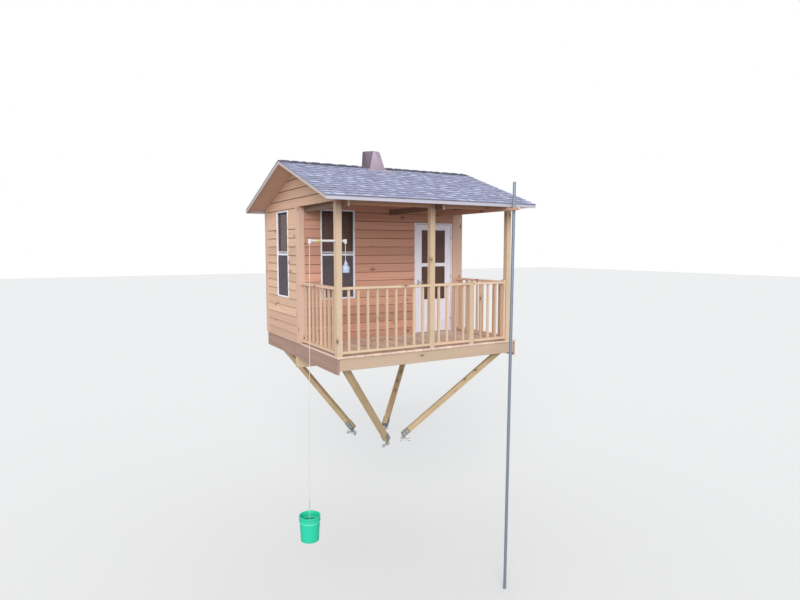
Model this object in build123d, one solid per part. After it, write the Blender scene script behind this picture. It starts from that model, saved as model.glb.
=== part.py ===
# Tree house: a framed cabin with a covered porch on a platform held by a trunk.
# Millimetres. x runs along the porch front, y runs back into the cabin, z is up.
# All places are measured from the front left top corner of the deck, and the
# finished pieces are moved so that the origin lies on the trunk plate's face.
from math import atan, cos, degrees, hypot, pi, radians, sin, tan
import os
from build123d import *

# Sawn timber sizes
plank = 38            # thickness of framing timber
two_by_four = 89
two_by_six = 140
two_by_eight = 184
two_by_ten = 235
square_post = 89

# Platform
platform_length = 3353
platform_depth = 3273
deck_thickness = 30
deck_overhang = 12    # deck boards past the front rim
joist_spacing = 406

# Way of the trunk through the platform, and through the roof where it leans back
trunk_x = 1360
trunk_way_length = 500
trunk_way_depth = 450
trunk_wall_gap = 4       # behind the way, to the cabin's front wall
roof_way_x = 1352
roof_way_behind = 32     # middle of the way, behind the ridge
roof_way_length = 290
roof_way_depth = 270

# Main beam and its plate on the trunk
beam_width = 89
beam_front = 1665
plate_length = 240
plate_height = 150
plate_thickness = 10

# Knee braces and their shoes on the tree bolts
brace_size = 89
brace_top_inset = 55
brace_top_z = -30
foot_front_left = (1310, 905, -1690)
foot_front_right = (1740, 1090, -1730)
foot_rear_left = (1020, 1640, -1650)
foot_rear_right = (1680, 1650, -1690)
shoe_length = 150
shoe_thickness = 6
tongue_thickness = 12
tongue_drop = 105
tree_bolt_radius = 16
tree_bolt_length = 150
collar_radius = 38
collar_thickness = 10
nut_radius = 30
nut_thickness = 24

# Porch posts and rails
post_height = 2212
middle_post_x = 1603
right_post_inset = 123   # right post's outer face to the platform's right end
gate_room = 677          # between the gate post and the right post
gate_post_height = 1030
rail_top = 1016
bottom_rail_gap = 35
baluster_size = 35
baluster_spacing = 160

# Gate
gate_gap = 14
gate_stile = 38
gate_stile_rise = 30
gate_knuckle_radius = 6.5
knuckle_length = 30

# Cabin
wall_thickness = 101
cabin_behind_ridge = 91  # front wall's outer face
cabin_right_inset = 87   # right wall's outer face to the platform's right end
gable_header_rise = 44   # gable boards' lower end above the post tops
gable_thickness = 38

# Front door
door_width = 832
door_right_inset = 213   # door frame to the right wall's outer face
door_height = 2044
door_frame_face = 25
door_frame_depth = 84
door_frame_proud = 12
door_gap = 7
door_thickness = 38
door_setback = 5
door_stile = 112
door_top_rail = 88
door_bottom_rail = 615
door_bar_z = 1271        # middle of the bar across the glass
door_bar = 40
door_glass_thickness = 6
door_hinge_inset = 230
door_knuckle_radius = 6

# Windows
front_window = (376, 1011, 707, 2233)
left_window_inset = 513  # from the front wall's face
left_window_width = 592
left_window_low = 713
left_window_high = 2227
window_face = 48
window_depth = 90
window_proud = 14
window_rail = 40
glass_thickness = 8

# Corner boards
board_width = 89
side_board_width = 140
front_right_board = 108
door_trim_board = 92
board_thickness = 19

# Roof
eave_front = -505
eave_rear_reach = 58     # past the platform's rear end
eave_rise = 70           # shingles' lower edge above the post tops
roof_rise = 681          # from the eaves to the ridge
rake_left = -362
rake_right_reach = 34    # past the right wall
roof_thickness = 20
rafter_depth = 89
ridge_board_depth = 140
fascia_depth = 55
fascia_thickness = 19
fascia_joint = 1
cap_width = 130
cap_thickness = 8

# Roof ties and the arm that carries the pole
tie_drop = 44            # ties' lower edge under the post tops
tie_front = -200
pole_arm_front = -742
arm_under_fascia = 16
pole_inset = 434         # pole's top from the right post's outer face
pole_lean = 66
pole_y = -565
pole_top = 2614
ground_z = -4040
pole_radius = 24.15
pole_wall = 3.7
strap_width = 30
strap_thickness = 4
strap_ear = 26

# Flashing round the trunk at the ridge: square foot, eight-sided mouth
flashing_rise = 267
flashing_base_margin = 18
flashing_flange = 100
flashing_apron = 190
flashing_mouth = 296
flashing_mouth_cut = 112
flashing_mouth_left = 30
flashing_mouth_behind = 23
flashing_foot_cut = 12
flashing_sheet = 4

# Hoist: pipe through the corner post, rope, bucket and counterweight
pipe_z = 1685
pipe_radius = 17
pipe_bore = 13
pipe_left = -382
pipe_right = 165
elbow_radius = 22
elbow_drop = 40
rope_diameter = 9
bucket_x = -439
bucket_lip_z = -2285
bucket_lip_radius = 155
bucket_foot_radius = 131
bucket_height = 368
bucket_wall = 4
bucket_rim = 20
bucket_ring_drop = 63
bucket_ring = 12
bail_radius = 4
bail_rise = 215
bail_peak = 140
bail_crown = 30
bail_ear_drop = 45
bail_ear = 10
bail_turn = 69
jug_radius = 58
jug_height = 118
jug_neck_radius = 20
jug_neck_height = 30
jug_foot_z = 1228

seat = 0.3            # clearance of pieces that only rest on each other

# Worked-out values
right_post_x = platform_length - right_post_inset - square_post
gate_post_x = right_post_x - gate_room - square_post
cabin_right = platform_length - cabin_right_inset
door_right = cabin_right - door_right_inset
door_left = door_right - door_width
beam_top = post_height + two_by_six
tie_low = post_height - tie_drop
tie_top = tie_low + two_by_four
gable_header_z = post_height + gable_header_rise
eave_z = post_height + eave_rise
ridge_z = eave_z + roof_rise
eave_rear = platform_depth + eave_rear_reach
ridge_y = (eave_front + eave_rear) / 2
cabin_front = ridge_y + cabin_behind_ridge
left_window = (cabin_front + left_window_inset, cabin_front + left_window_inset + left_window_width,
               left_window_low, left_window_high)
rake_right = cabin_right + rake_right_reach
slope = roof_rise / (ridge_y - eave_front)
pitch = atan(slope)
roof_drop = roof_thickness / cos(pitch)
rafter_drop = rafter_depth / cos(pitch)
pole_x_top = right_post_x + square_post - pole_inset
pole_x_foot = pole_x_top - pole_lean
deck_under = -deck_thickness
joist_under = deck_under - two_by_eight
rim_under = deck_under - two_by_ten
way_left = trunk_x - trunk_way_length / 2
way_right = trunk_x + trunk_way_length / 2
way_rear = cabin_front - trunk_wall_gap
way_front = way_rear - trunk_way_depth
roof_way_y = ridge_y + roof_way_behind
roof_way = (roof_way_x - roof_way_length / 2, roof_way_x + roof_way_length / 2,
            roof_way_y - roof_way_depth / 2, roof_way_y + roof_way_depth / 2)
pipe_y = square_post / 2
bucket_collar_radius = bucket_lip_radius - 2 * bucket_wall
bail_reach = bucket_lip_radius + bail_radius + seat
beam_z = rim_under - two_by_eight / 2
door_hinges = (door_hinge_inset, door_height / 2, door_height - door_hinge_inset - 2 * knuckle_length)
gate_axis = (gate_post_x + square_post + gate_gap / 2, square_post)
gate_leaf_y = (square_post - gate_knuckle_radius, square_post)
knuckle_inset = (plank - knuckle_length) / 2
gate_hinges = (bottom_rail_gap + knuckle_inset, rail_top - plank + knuckle_inset)
door_front = cabin_front - door_frame_proud
door_axis = (door_right - door_frame_face - door_gap / 2, door_front - door_knuckle_radius - seat)
origin = (trunk_x, beam_front - plate_thickness, beam_z)


def block(x0, x1, y0, y1, z0, z1):
    """A straight piece between two opposite corners."""
    return Pos((x0 + x1) / 2, (y0 + y1) / 2, (z0 + z1) / 2) * Box(x1 - x0, y1 - y0, z1 - z0)


def along_x(points, x0, x1):
    """A profile in y and z carried from x0 to x1."""
    middle = Plane.YZ.offset((x0 + x1) / 2)
    return extrude(middle * Polygon(*points, align=None), amount=(x1 - x0) / 2, both=True)


def roof_top(y):
    """Height of the shingles at a depth."""
    return ridge_z - slope * abs(y - ridge_y)


def under_roof(y, drop):
    """Height of a line that lies below the shingles by an upright drop."""
    return roof_top(y) - drop


def write(name, *solids):
    """Move the solids to the shared origin and write them as one node."""
    placed = [Pos(-origin[0], -origin[1], -origin[2]) * solid for solid in solids]
    shape = placed[0] if len(placed) == 1 else Compound(placed)
    export_step(shape, f"parts/{name}.step")


# Platform
def rims():
    side_depth = platform_depth
    write("left_rim", block(0, plank, 0, side_depth, rim_under, deck_under))
    write("right_rim", block(platform_length - plank, platform_length, 0, side_depth, rim_under, deck_under))
    inner = (plank, platform_length - plank)
    write("front_rim", block(*inner, 0, plank, joist_under, deck_under))
    write("rear_rim", block(*inner, platform_depth - plank, platform_depth, joist_under, deck_under))


def joist_rows():
    """Front faces of the joists: even rows before and behind the trunk way."""
    rows = [way_front - plank, way_rear]
    for start, end in ((plank, way_front - plank), (way_rear + plank, platform_depth - plank)):
        bays = round((end - start) / joist_spacing)
        step = (end - start) / bays
        rows += [start + step * (bay + 1) - plank / 2 for bay in range(bays - 1)]
    return sorted(rows)


def floor():
    joists = [block(plank, platform_length - plank, row, row + plank, joist_under, deck_under)
              for row in joist_rows()]
    write("floor_joists", *joists)
    write("trunk_headers", *[block(x, x + plank, way_front, way_rear, joist_under, deck_under)
                             for x in (way_left - plank, way_right)])
    deck_front = -deck_overhang
    write("deck_front", block(0, platform_length, deck_front, way_front, deck_under, 0))
    write("deck_rear", block(0, platform_length, way_rear, platform_depth, deck_under, 0))
    write("deck_beside_trunk", block(0, way_left, way_front, way_rear, deck_under, 0),
          block(way_right, platform_length, way_front, way_rear, deck_under, 0))


def main_beam():
    beam_rear = beam_front + beam_width
    write("main_beam", block(0, platform_length, beam_front, beam_rear, rim_under - two_by_eight, rim_under))
    half = plate_length / 2
    write("trunk_plate", block(trunk_x - half, trunk_x + half, beam_front - plate_thickness, beam_front,
                               beam_z - plate_height / 2, beam_z + plate_height / 2))


# Braces: each one lies in an upright plane from a platform corner to its foot
def brace_frame(corner, foot):
    """The upright working plane at the foot, with local x towards the trunk, and the fall."""
    run = (foot[0] - corner[0], foot[1] - corner[1])
    reach = hypot(*run)
    fall = atan((brace_top_z - foot[2]) / reach)
    plane = Plane(origin=foot, x_dir=(run[0], run[1], 0), z_dir=(run[1], -run[0], 0))
    return plane, fall


def brace(corner, foot, room):
    plane, fall = brace_frame(corner, foot)
    half = brace_size / 2
    top = brace_top_z - foot[2]
    low_foot = (-half * sin(fall), -half * cos(fall))
    high_foot = (half * sin(fall), half * cos(fall))
    low_run = (top + half * cos(fall)) / sin(fall)
    high_run = (top - half * cos(fall)) / sin(fall)
    low_top = (low_foot[0] - low_run * cos(fall), low_foot[1] + low_run * sin(fall))
    high_top = (high_foot[0] - high_run * cos(fall), high_foot[1] + high_run * sin(fall))
    side = Polygon(low_foot, high_foot, high_top, low_top, align=None)
    return extrude(plane * side, amount=half, both=True) & room


def shoe(corner, foot):
    """Steel shoe: two side plates, an end plate and a tongue on the tree bolt."""
    plane, fall = brace_frame(corner, foot)
    half = brace_size / 2
    e = (-cos(fall), sin(fall))
    p = (sin(fall), cos(fall))

    def at(t, h):
        return (e[0] * t + p[0] * h, e[1] * t + p[1] * h)

    cheek = Polygon(at(-shoe_thickness, -half), at(shoe_length, -half), at(shoe_length, half),
                    at(-shoe_thickness, half), align=None)
    end = Polygon(at(-shoe_thickness, -half), at(0, -half), at(0, half), at(-shoe_thickness, half),
                  align=None)
    low = at(-shoe_thickness / 2, -half)
    bolt_z = low[1] - tongue_drop / 2
    tongue = Polygon(at(-shoe_thickness, half / 2), at(0, -half), (low[0] - tongue_drop / 2, bolt_z),
                     (low[0] + tongue_drop / 2, bolt_z), align=None)
    body = extrude(plane * end, amount=half + shoe_thickness, both=True)
    body += extrude(plane * tongue, amount=tongue_thickness / 2, both=True)
    beside = half + shoe_thickness / 2
    for side in (-beside, beside):
        body += extrude(plane.offset(side) * cheek, amount=shoe_thickness / 2, both=True)
    bolt_frame = plane * Pos(low[0], bolt_z, 0) * Rot(0, 90, 0)
    start = -tree_bolt_length / 2
    body += bolt_frame * Cylinder(tree_bolt_radius, tree_bolt_length)
    nut = extrude(RegularPolygon(nut_radius, 6), nut_thickness)
    body += bolt_frame * Pos(0, 0, start - nut_thickness) * nut
    body += bolt_frame * Pos(0, 0, -start - collar_thickness / 2) * Cylinder(collar_radius, collar_thickness)
    return body


def braces():
    near = plank
    far_x = platform_length - plank
    far_y = platform_depth - plank
    room = block(near, far_x, near, far_y, ground_z, brace_top_z)
    near_in = brace_top_inset
    far_in_x = platform_length - brace_top_inset
    far_in_y = platform_depth - brace_top_inset
    braced = {
        "front_left": ((near_in, near_in), foot_front_left),
        "front_right": ((far_in_x, near_in), foot_front_right),
        "rear_left": ((near_in, far_in_y), foot_rear_left),
        "rear_right": ((far_in_x, far_in_y), foot_rear_right),
    }
    shoes = []
    for name, (corner, foot) in braced.items():
        write(f"brace_{name}", brace(corner, foot, room))
        shoes.append(shoe(corner, foot))
    write("brace_shoes", *shoes)


# Porch
def posts():
    pipe_hole = Pos(0, pipe_y, pipe_z) * Rot(0, 90, 0) * Cylinder(pipe_radius + seat, 4 * square_post)
    write("post_left", block(0, square_post, 0, square_post, 0, post_height) - pipe_hole)
    for name, x in (("post_middle", middle_post_x), ("post_right", right_post_x)):
        write(name, block(x, x + square_post, 0, square_post, 0, post_height))
    post = block(gate_post_x, gate_post_x + square_post, 0, square_post, 0, gate_post_height)
    for z in gate_hinges:
        high = z - seat
        post += knuckle(gate_axis, gate_knuckle_radius, high - knuckle_length, high,
                        gate_post_x + square_post, gate_leaf_y)
    write("gate_post", post)


def balusters(start, end):
    """Left faces of the balusters, at their spacing, in the middle of the room."""
    count = int((end - start) / baluster_spacing)
    first = (start + end - baluster_spacing * (count - 1) - baluster_size) / 2
    return [first + baluster_spacing * place for place in range(count)]


def knuckle(axis, radius, z0, z1, leaf_x, leaf_y):
    """One hinge knuckle with the short leaf that joins it to its own side."""
    x, y = axis
    barrel = Pos(x, y, (z0 + z1) / 2) * Cylinder(radius, z1 - z0)
    return barrel + block(min(x, leaf_x), max(x, leaf_x), min(leaf_y), max(leaf_y), z0, z1)


def rail_panel(start, end):
    """A railing of flat rails with square balusters, drawn along x."""
    low = bottom_rail_gap
    panel = block(start, end, 0, square_post, rail_top - plank, rail_top)
    panel += block(start, end, 0, square_post, low, low + plank)
    middle = square_post / 2
    half = baluster_size / 2
    for x in balusters(start, end):
        panel += block(x, x + baluster_size, middle - half, middle + half, low + plank, rail_top - plank)
    return panel


def railings():
    write("front_railing_left", rail_panel(square_post, middle_post_x))
    write("front_railing_middle", rail_panel(middle_post_x + square_post, gate_post_x))
    side = rail_panel(square_post, cabin_front - board_thickness)
    write("left_railing", Pos(square_post, 0, 0) * Rot(0, 0, 90) * side)
    write("right_railing", Pos(right_post_x + square_post, 0, 0) * Rot(0, 0, 90) * side)


def rail_gate():
    start = gate_post_x + square_post + gate_gap
    end = right_post_x - gate_gap
    gate = rail_panel(start, end - gate_stile)
    gate += block(end - gate_stile, end, 0, square_post, bottom_rail_gap, rail_top + gate_stile_rise)
    for z in gate_hinges:
        gate += knuckle(gate_axis, gate_knuckle_radius, z, z + knuckle_length, start, gate_leaf_y)
    write("rail_gate", gate)


def porch_beam():
    beam = block(0, right_post_x + square_post, 0, square_post, post_height, beam_top)
    for x in tie_places():
        beam -= block(x, x + plank, -1, square_post + 1, post_height - 1, tie_top)
    write("porch_beam", beam)


def pole_x(z):
    """Centre of the leaning pole at a height."""
    share = (z - ground_z) / (pole_top - ground_z)
    return pole_x_foot + (pole_x_top - pole_x_foot) * share


def tie_places():
    """Left faces of the two ties and the pole arm."""
    arm = pole_x(tie_low) - pole_radius - seat - plank
    return (square_post, middle_post_x + square_post, arm)


def ties():
    left, middle, arm = tie_places()
    write("roof_ties", *[block(x, x + plank, tie_front, cabin_front, tie_low, tie_top)
                         for x in (left, middle)])
    under_fascia = block(arm, arm + plank, pole_arm_front, eave_front + fascia_thickness,
                         eave_z - fascia_depth - arm_under_fascia, tie_top)
    write("pole_arm", block(arm, arm + plank, pole_arm_front, cabin_front, tie_low, tie_top) - under_fascia)


def pole():
    lean = degrees(atan((pole_x_top - pole_x_foot) / (pole_top - ground_z)))
    length = (pole_top - ground_z) / cos(radians(lean))
    spare = 100
    frame = Pos(pole_x_foot, pole_y, ground_z) * Rot(0, lean, 0)
    tube = frame * Pos(0, 0, (length - spare) / 2) * Cylinder(pole_radius, length + spare)
    bore = frame * Pos(0, 0, length / 2 - spare) * Cylinder(pole_radius - pole_wall, length + spare)
    keep = block(pole_x_foot - spare, pole_x_top + spare, pole_y - spare, pole_y + spare, ground_z, pole_top)
    write("slide_pole", (tube - bore) & keep)
    back = tie_places()[2] + plank
    z = tie_low + strap_width / 2
    x = pole_x(z)
    inner = pole_radius + seat
    outer = inner + strap_thickness
    low, high = z - strap_width / 2, z + strap_width / 2
    ring = Pos(x, pole_y, z) * (Cylinder(outer, strap_width) - Cylinder(inner, strap_width))
    strap = ring & block(x, x + outer, pole_y - outer, pole_y + outer, low, high)
    for y0, ear in ((pole_y - outer, -strap_ear), (pole_y + inner, strap_ear)):
        strap += block(back, x, y0, y0 + strap_thickness, low, high)
        strap += block(back, back + strap_thickness, min(y0, y0 + ear), max(y0, y0 + ear) + strap_thickness,
                       low, high)
    write("pole_strap", strap)


# Cabin walls
def gable_profile(start, end, low):
    """Wall outline in y and z up to the sheathing."""
    points = [(start, low), (end, low), (end, under_roof(end, roof_drop))]
    if start < ridge_y < end:
        points.append((ridge_y, ridge_z - roof_drop))
    points.append((start, under_roof(start, roof_drop)))
    return points


def cabin_walls():
    side = gable_profile(cabin_front, platform_depth, 0)
    y0, y1, z0, z1 = left_window
    hole = block(-1, wall_thickness + 1, y0, y1, z0, z1)
    write("left_wall", along_x(side, 0, wall_thickness) - hole)
    write("right_wall", along_x(side, cabin_right - wall_thickness, cabin_right))

    drop = roof_drop + rafter_drop
    back = cabin_front + wall_thickness
    full = [(cabin_front, 0), (back, 0), (back, under_roof(back, drop)),
            (cabin_front, under_roof(cabin_front, drop))]
    over = [(cabin_front, door_height), (back, door_height)] + full[2:]
    left, right = wall_thickness, cabin_right - wall_thickness
    x0, x1, z0, z1 = front_window
    hole = block(x0, x1, cabin_front - 1, back + 1, z0, z1)
    write("front_wall", along_x(full, left, door_left) - hole)
    write("wall_over_door", along_x(over, door_left, door_right))
    write("wall_beside_door", along_x(full, door_right, right))

    inner = platform_depth - wall_thickness
    rear = [(inner, 0), (platform_depth, 0), (platform_depth, under_roof(platform_depth, drop)),
            (inner, under_roof(inner, drop))]
    write("rear_wall", along_x(rear, left, right))


def porch_gables():
    outline = [(0, beam_top), (square_post, beam_top), (square_post, gable_header_z),
               (cabin_front, gable_header_z), (cabin_front, under_roof(cabin_front, roof_drop)),
               (ridge_y, ridge_z - roof_drop), (0, under_roof(0, roof_drop))]
    right = right_post_x + square_post
    write("porch_gables", along_x(outline, 0, gable_thickness),
          along_x(outline, right - gable_thickness, right))


def corner_boards():
    """Boards on the outer faces at the four cabin corners, and one beside the door."""
    t = board_thickness
    w = side_board_width
    rear = platform_depth
    rear_top = under_roof(rear + t, fascia_depth) - seat
    boards = []
    for x0 in (-t, cabin_right):
        boards.append(block(x0, x0 + t, cabin_front - t, cabin_front - t + w, 0, gable_header_z))
        boards.append(block(x0, x0 + t, rear + t - w, rear + t, 0, rear_top))
    for x0, x1 in ((seat, board_width), (cabin_right - board_width, cabin_right - seat)):
        boards.append(block(x0, x1, rear, rear + t, 0, rear_top))
    corner = cabin_right - front_right_board
    for x0, x1 in ((seat, board_width), (corner, cabin_right - seat),
                   (corner - seat - door_trim_board, corner - seat)):
        boards.append(block(x0, x1, cabin_front - t, cabin_front, 0, gable_header_z))
    write("corner_boards", *boards)


# Windows and door
def window(width, height):
    """A window drawn in x and z, its outer face on y = 0 and its depth towards +y."""
    ring = block(0, width, 0, window_depth, 0, height)
    ring -= block(window_face, width - window_face, -1, window_depth + 1, window_face, height - window_face)
    middle = height / 2
    ring += block(window_face, width - window_face, window_depth / 4, window_depth * 3 / 4,
                  middle - window_rail / 2, middle + window_rail / 2)
    return ring


def panes(width, height):
    middle = height / 2
    y0 = window_depth / 2 - glass_thickness / 2
    return [block(window_face, width - window_face, y0, y0 + glass_thickness, low, high)
            for low, high in ((window_face, middle - window_rail / 2),
                              (middle + window_rail / 2, height - window_face))]


def windows():
    x0, x1, z0, z1 = front_window
    front_place = Pos(x0, cabin_front - window_proud, z0)
    write("front_window", front_place * window(x1 - x0, z1 - z0))
    glass = [front_place * pane for pane in panes(x1 - x0, z1 - z0)]
    y0, y1, z0, z1 = left_window
    left_place = Pos(-window_proud, y1, z0) * Rot(0, 0, -90)
    write("left_window", left_place * window(y1 - y0, z1 - z0))
    glass += [left_place * pane for pane in panes(y1 - y0, z1 - z0)]
    write("window_glass", *glass)


def door_parts():
    y0 = door_front
    y1 = y0 + door_frame_depth
    face = door_frame_face
    frame = block(door_left, door_right, y0, y1, 0, door_height)
    frame -= block(door_left + face, door_right - face, y0 - 1, y1 + 1, -1, door_height - face)
    frame += block(door_left + face, door_right - face, y0 + door_frame_depth / 3, y1, 0, door_gap)
    for z in door_hinges:
        frame += knuckle(door_axis, door_knuckle_radius, z, z + knuckle_length, door_right,
                         (door_axis[1], y0))
    write("door_frame", frame)

    left = door_left + face + door_gap
    right = door_right - face - door_gap
    low, high = 2 * door_gap, door_height - face - door_gap
    front = y0 + door_setback
    leaf = block(left, right, front, front + door_thickness, low, high)
    glass_left, glass_right = left + door_stile, right - door_stile
    bar_low, bar_high = door_bar_z - door_bar / 2, door_bar_z + door_bar / 2
    lights = ((door_bottom_rail, bar_low), (bar_high, high - door_top_rail))
    for z0, z1 in lights:
        leaf -= block(glass_left, glass_right, front - 1, front + door_thickness + 1, z0, z1)
    for z in door_hinges:
        knuckle_low = z + knuckle_length + seat
        leaf += knuckle(door_axis, door_knuckle_radius, knuckle_low, knuckle_low + knuckle_length,
                        right - knuckle_length, (door_axis[1], front))
    write("storm_door", leaf)
    middle = front + door_thickness / 2
    half = door_glass_thickness / 2
    write("door_glass", *[block(glass_left, glass_right, middle - half, middle + half, z0, z1)
                          for z0, z1 in lights])


# Roof
def rafter_places():
    """Left faces of the rafters, even between the walls and the trunk way."""
    first = wall_thickness
    last = cabin_right - wall_thickness - plank
    beside = (way_left - plank, way_right)
    places = [first, (first + beside[0]) / 2, beside[0], beside[1]]
    step = (last - beside[1]) / 3
    return places + [beside[1] + step * share for share in (1, 2, 3)]


def rafter_profile(ridge, eave, tail):
    """Rafter outline with a level tail that ends at the fascia's lower edge."""
    low = roof_drop + rafter_drop
    tail_z = eave_z - fascia_depth
    return [(ridge, under_roof(ridge, roof_drop)), (eave, under_roof(eave, roof_drop)), (eave, tail_z),
            (tail, tail_z), (ridge, under_roof(ridge, low))]


def roof_frame():
    half = plank / 2
    inset = fascia_thickness + fascia_joint
    tail = (roof_drop + rafter_drop - fascia_depth) / slope
    front = rafter_profile(ridge_y - half, eave_front + inset, eave_front + tail)
    rear = rafter_profile(ridge_y + half, eave_rear - inset, eave_rear - tail)
    rafters = []
    header = block(-1, platform_length, 0, square_post, post_height, beam_top)
    tie_cut = [block(x, x + plank, end - 1, cabin_front, tie_low, tie_top)
               for x, end in zip(tie_places(), (tie_front, tie_front, pole_arm_front))]
    for x in rafter_places():
        rafter = along_x(front, x, x + plank) - header
        for cut in tie_cut:
            rafter -= cut
        rafters.append(rafter)
    write("front_rafters", *rafters)
    write("rear_rafters", *[along_x(rear, x, x + plank) for x in rafter_places()])
    top = ridge_z - roof_drop - slope * half
    low = top - ridge_board_depth
    right = right_post_x + square_post - gable_thickness
    ends = (gable_thickness, way_left - plank, way_right + plank, right)
    write("ridge_board", block(ends[0], ends[1], ridge_y - half, ridge_y + half, low, top),
          block(ends[2], ends[3], ridge_y - half, ridge_y + half, low, top))


def roof_slab(start, end):
    points = [(start, roof_top(start)), (end, roof_top(end)), (end, under_roof(end, roof_drop)),
              (start, under_roof(start, roof_drop))]
    slab = along_x(points, rake_left, rake_right)
    return slab - block(*roof_way, eave_z, ridge_z + 1)


def fascia():
    """Thin boards under the sheathing along both eaves and the four rakes."""
    t, j = fascia_thickness, fascia_joint
    boards = []
    for y0 in (eave_front, eave_rear - t):
        edge = [(y0, under_roof(y0, roof_drop)), (y0 + t, under_roof(y0 + t, roof_drop))]
        low = eave_z - fascia_depth
        boards.append(along_x([(y0, low), (y0 + t, low), edge[1], edge[0]], rake_left, rake_right))
    for x0 in (rake_left, rake_right - t):
        for start, end in ((eave_front + t + j, ridge_y - j), (ridge_y + j, eave_rear - t - j)):
            points = [(start, under_roof(start, roof_drop)), (end, under_roof(end, roof_drop)),
                      (end, under_roof(end, fascia_depth)), (start, under_roof(start, fascia_depth))]
            boards.append(along_x(points, x0, x0 + t))
    write("fascia_boards", *boards)


def roof():
    write("roof_front", roof_slab(eave_front, ridge_y))
    write("roof_rear", roof_slab(ridge_y, eave_rear))
    fascia()
    reach = cap_width
    low = [(ridge_y - reach, roof_top(ridge_y - reach)), (ridge_y, ridge_z),
           (ridge_y + reach, roof_top(ridge_y + reach))]
    lift = cap_thickness
    outline = low + [(y, z + lift) for y, z in reversed(low)]
    base = flashing_base_margin + flashing_flange
    write("ridge_cap", along_x(outline, rake_left, roof_way[0] - base),
          along_x(outline, roof_way[1] + base, rake_right))


def eight_corners(x, y, length, depth, cut, z):
    """A level rectangle with its corners cut off, in order round its edge."""
    half_x, half_y = length / 2, depth / 2
    points = []
    for right, back in ((-1, -1), (1, -1), (1, 1), (-1, 1)):
        pair = [(x + right * half_x, y + back * (half_y - cut), z),
                (x + right * (half_x - cut), y + back * half_y, z)]
        points += pair if right == back else reversed(pair)
    return points


def flat_sided(low, high):
    """Solid between two level outlines that have as many corners."""
    count = len(low)
    rings = [low, high]
    for corner in range(count):
        after = (corner + 1) % count
        rings.append([low[corner], low[after], high[after], high[corner]])
    return Solid(Shell([Face(Wire.make_polygon(ring)) for ring in rings]))


def flashing():
    """Sheet collar that leads the trunk through the ridge, with a flange on both slopes."""
    margin = flashing_base_margin
    x0, x1, y0, y1 = roof_way[0] - margin, roof_way[1] + margin, roof_way[2] - margin, roof_way[3] + margin
    low_z = min(roof_top(y0), roof_top(y1))
    top_z = ridge_z + flashing_rise

    def collar(shrink):
        foot = eight_corners(roof_way_x, roof_way_y, x1 - x0 - 2 * shrink, y1 - y0 - 2 * shrink,
                             flashing_foot_cut, low_z)
        mouth = flashing_mouth - 2 * shrink
        return flat_sided(foot, eight_corners(roof_way_x - flashing_mouth_left,
                                              roof_way_y + flashing_mouth_behind, mouth, mouth,
                                              flashing_mouth_cut, top_z))

    f = flashing_flange
    ends = (y0 - flashing_apron, y1 + f)
    low = [(ends[0], roof_top(ends[0])), (ridge_y, ridge_z), (ends[1], roof_top(ends[1]))]
    below = along_x(low + [(ends[1], 0), (ends[0], 0)], x0 - f, x1 + f)
    shell = collar(0) - collar(flashing_sheet) - below
    flange = along_x(low + [(y, z + flashing_sheet) for y, z in reversed(low)], x0 - f, x1 + f)
    hole = block(x0 + margin / 2, x1 - margin / 2, y0 + margin / 2, y1 - margin / 2, eave_z, top_z)
    write("trunk_flashing", shell + (flange - hole))


# Hoist
def hoist_pipe():
    length = pipe_right - pipe_left
    middle = (pipe_left + pipe_right) / 2
    along = Pos(middle, pipe_y, pipe_z) * Rot(0, 90, 0)
    pipe = along * Cylinder(pipe_radius, length)
    bores = along * Cylinder(pipe_bore, length + pipe_bore)
    socket = elbow_radius - 1
    crown = elbow_radius + 2
    for x, inward in ((pipe_left, elbow_drop), (pipe_right, -elbow_drop)):
        pipe += Pos(x + inward / 2, pipe_y, pipe_z) * Rot(0, 90, 0) * Cylinder(socket, elbow_drop)
        pipe += Pos(x, pipe_y, pipe_z + (crown - elbow_drop) / 2) * Cylinder(elbow_radius, elbow_drop + crown)
        bores += Pos(x, pipe_y, pipe_z - elbow_drop / 2) * Cylinder(rope_diameter / 2 + seat, elbow_drop)
    write("hoist_pipe", pipe - bores)


def taut_rope(name, start, end):
    """A rope pulled straight by its load."""
    path = Line(start, end)
    section = Plane(origin=start, z_dir=Vector(*end) - Vector(*start)) * Circle(rope_diameter / 2)
    rope = sweep(section, path=path)
    write(name, rope)
    print(name, "is straight, length", round(path.length, 1))


def ropes():
    mouth = pipe_z - elbow_drop
    bail_top = bucket_lip_z + bail_rise + bail_radius
    taut_rope("bucket_rope", (pipe_left, pipe_y, mouth), (bucket_x, pipe_y, bail_top + seat))
    jug_top = jug_foot_z + jug_height + jug_neck_height
    taut_rope("jug_rope", (pipe_right, pipe_y, mouth), (pipe_right, pipe_y, jug_top))


def bucket():
    """A tapered pail with a straight collar over its ring."""
    r1, r0, h, w = bucket_lip_radius, bucket_foot_radius, bucket_height, bucket_wall
    collar = bucket_collar_radius
    ring_high = h - bucket_ring_drop
    ring_low = ring_high - bucket_ring
    rim_low = h - bucket_rim
    outline = [(0, 0), (r0, 0), (collar, ring_low), (r1, ring_low), (r1, ring_high), (collar, ring_high),
               (collar, rim_low), (r1, rim_low), (r1, h), (collar - w, h), (collar - w, ring_low),
               (r0 - w, w), (0, w)]
    profile = Plane.XZ * Polygon(*outline, align=None)
    return revolve(profile, axis=Axis.Z)


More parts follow.
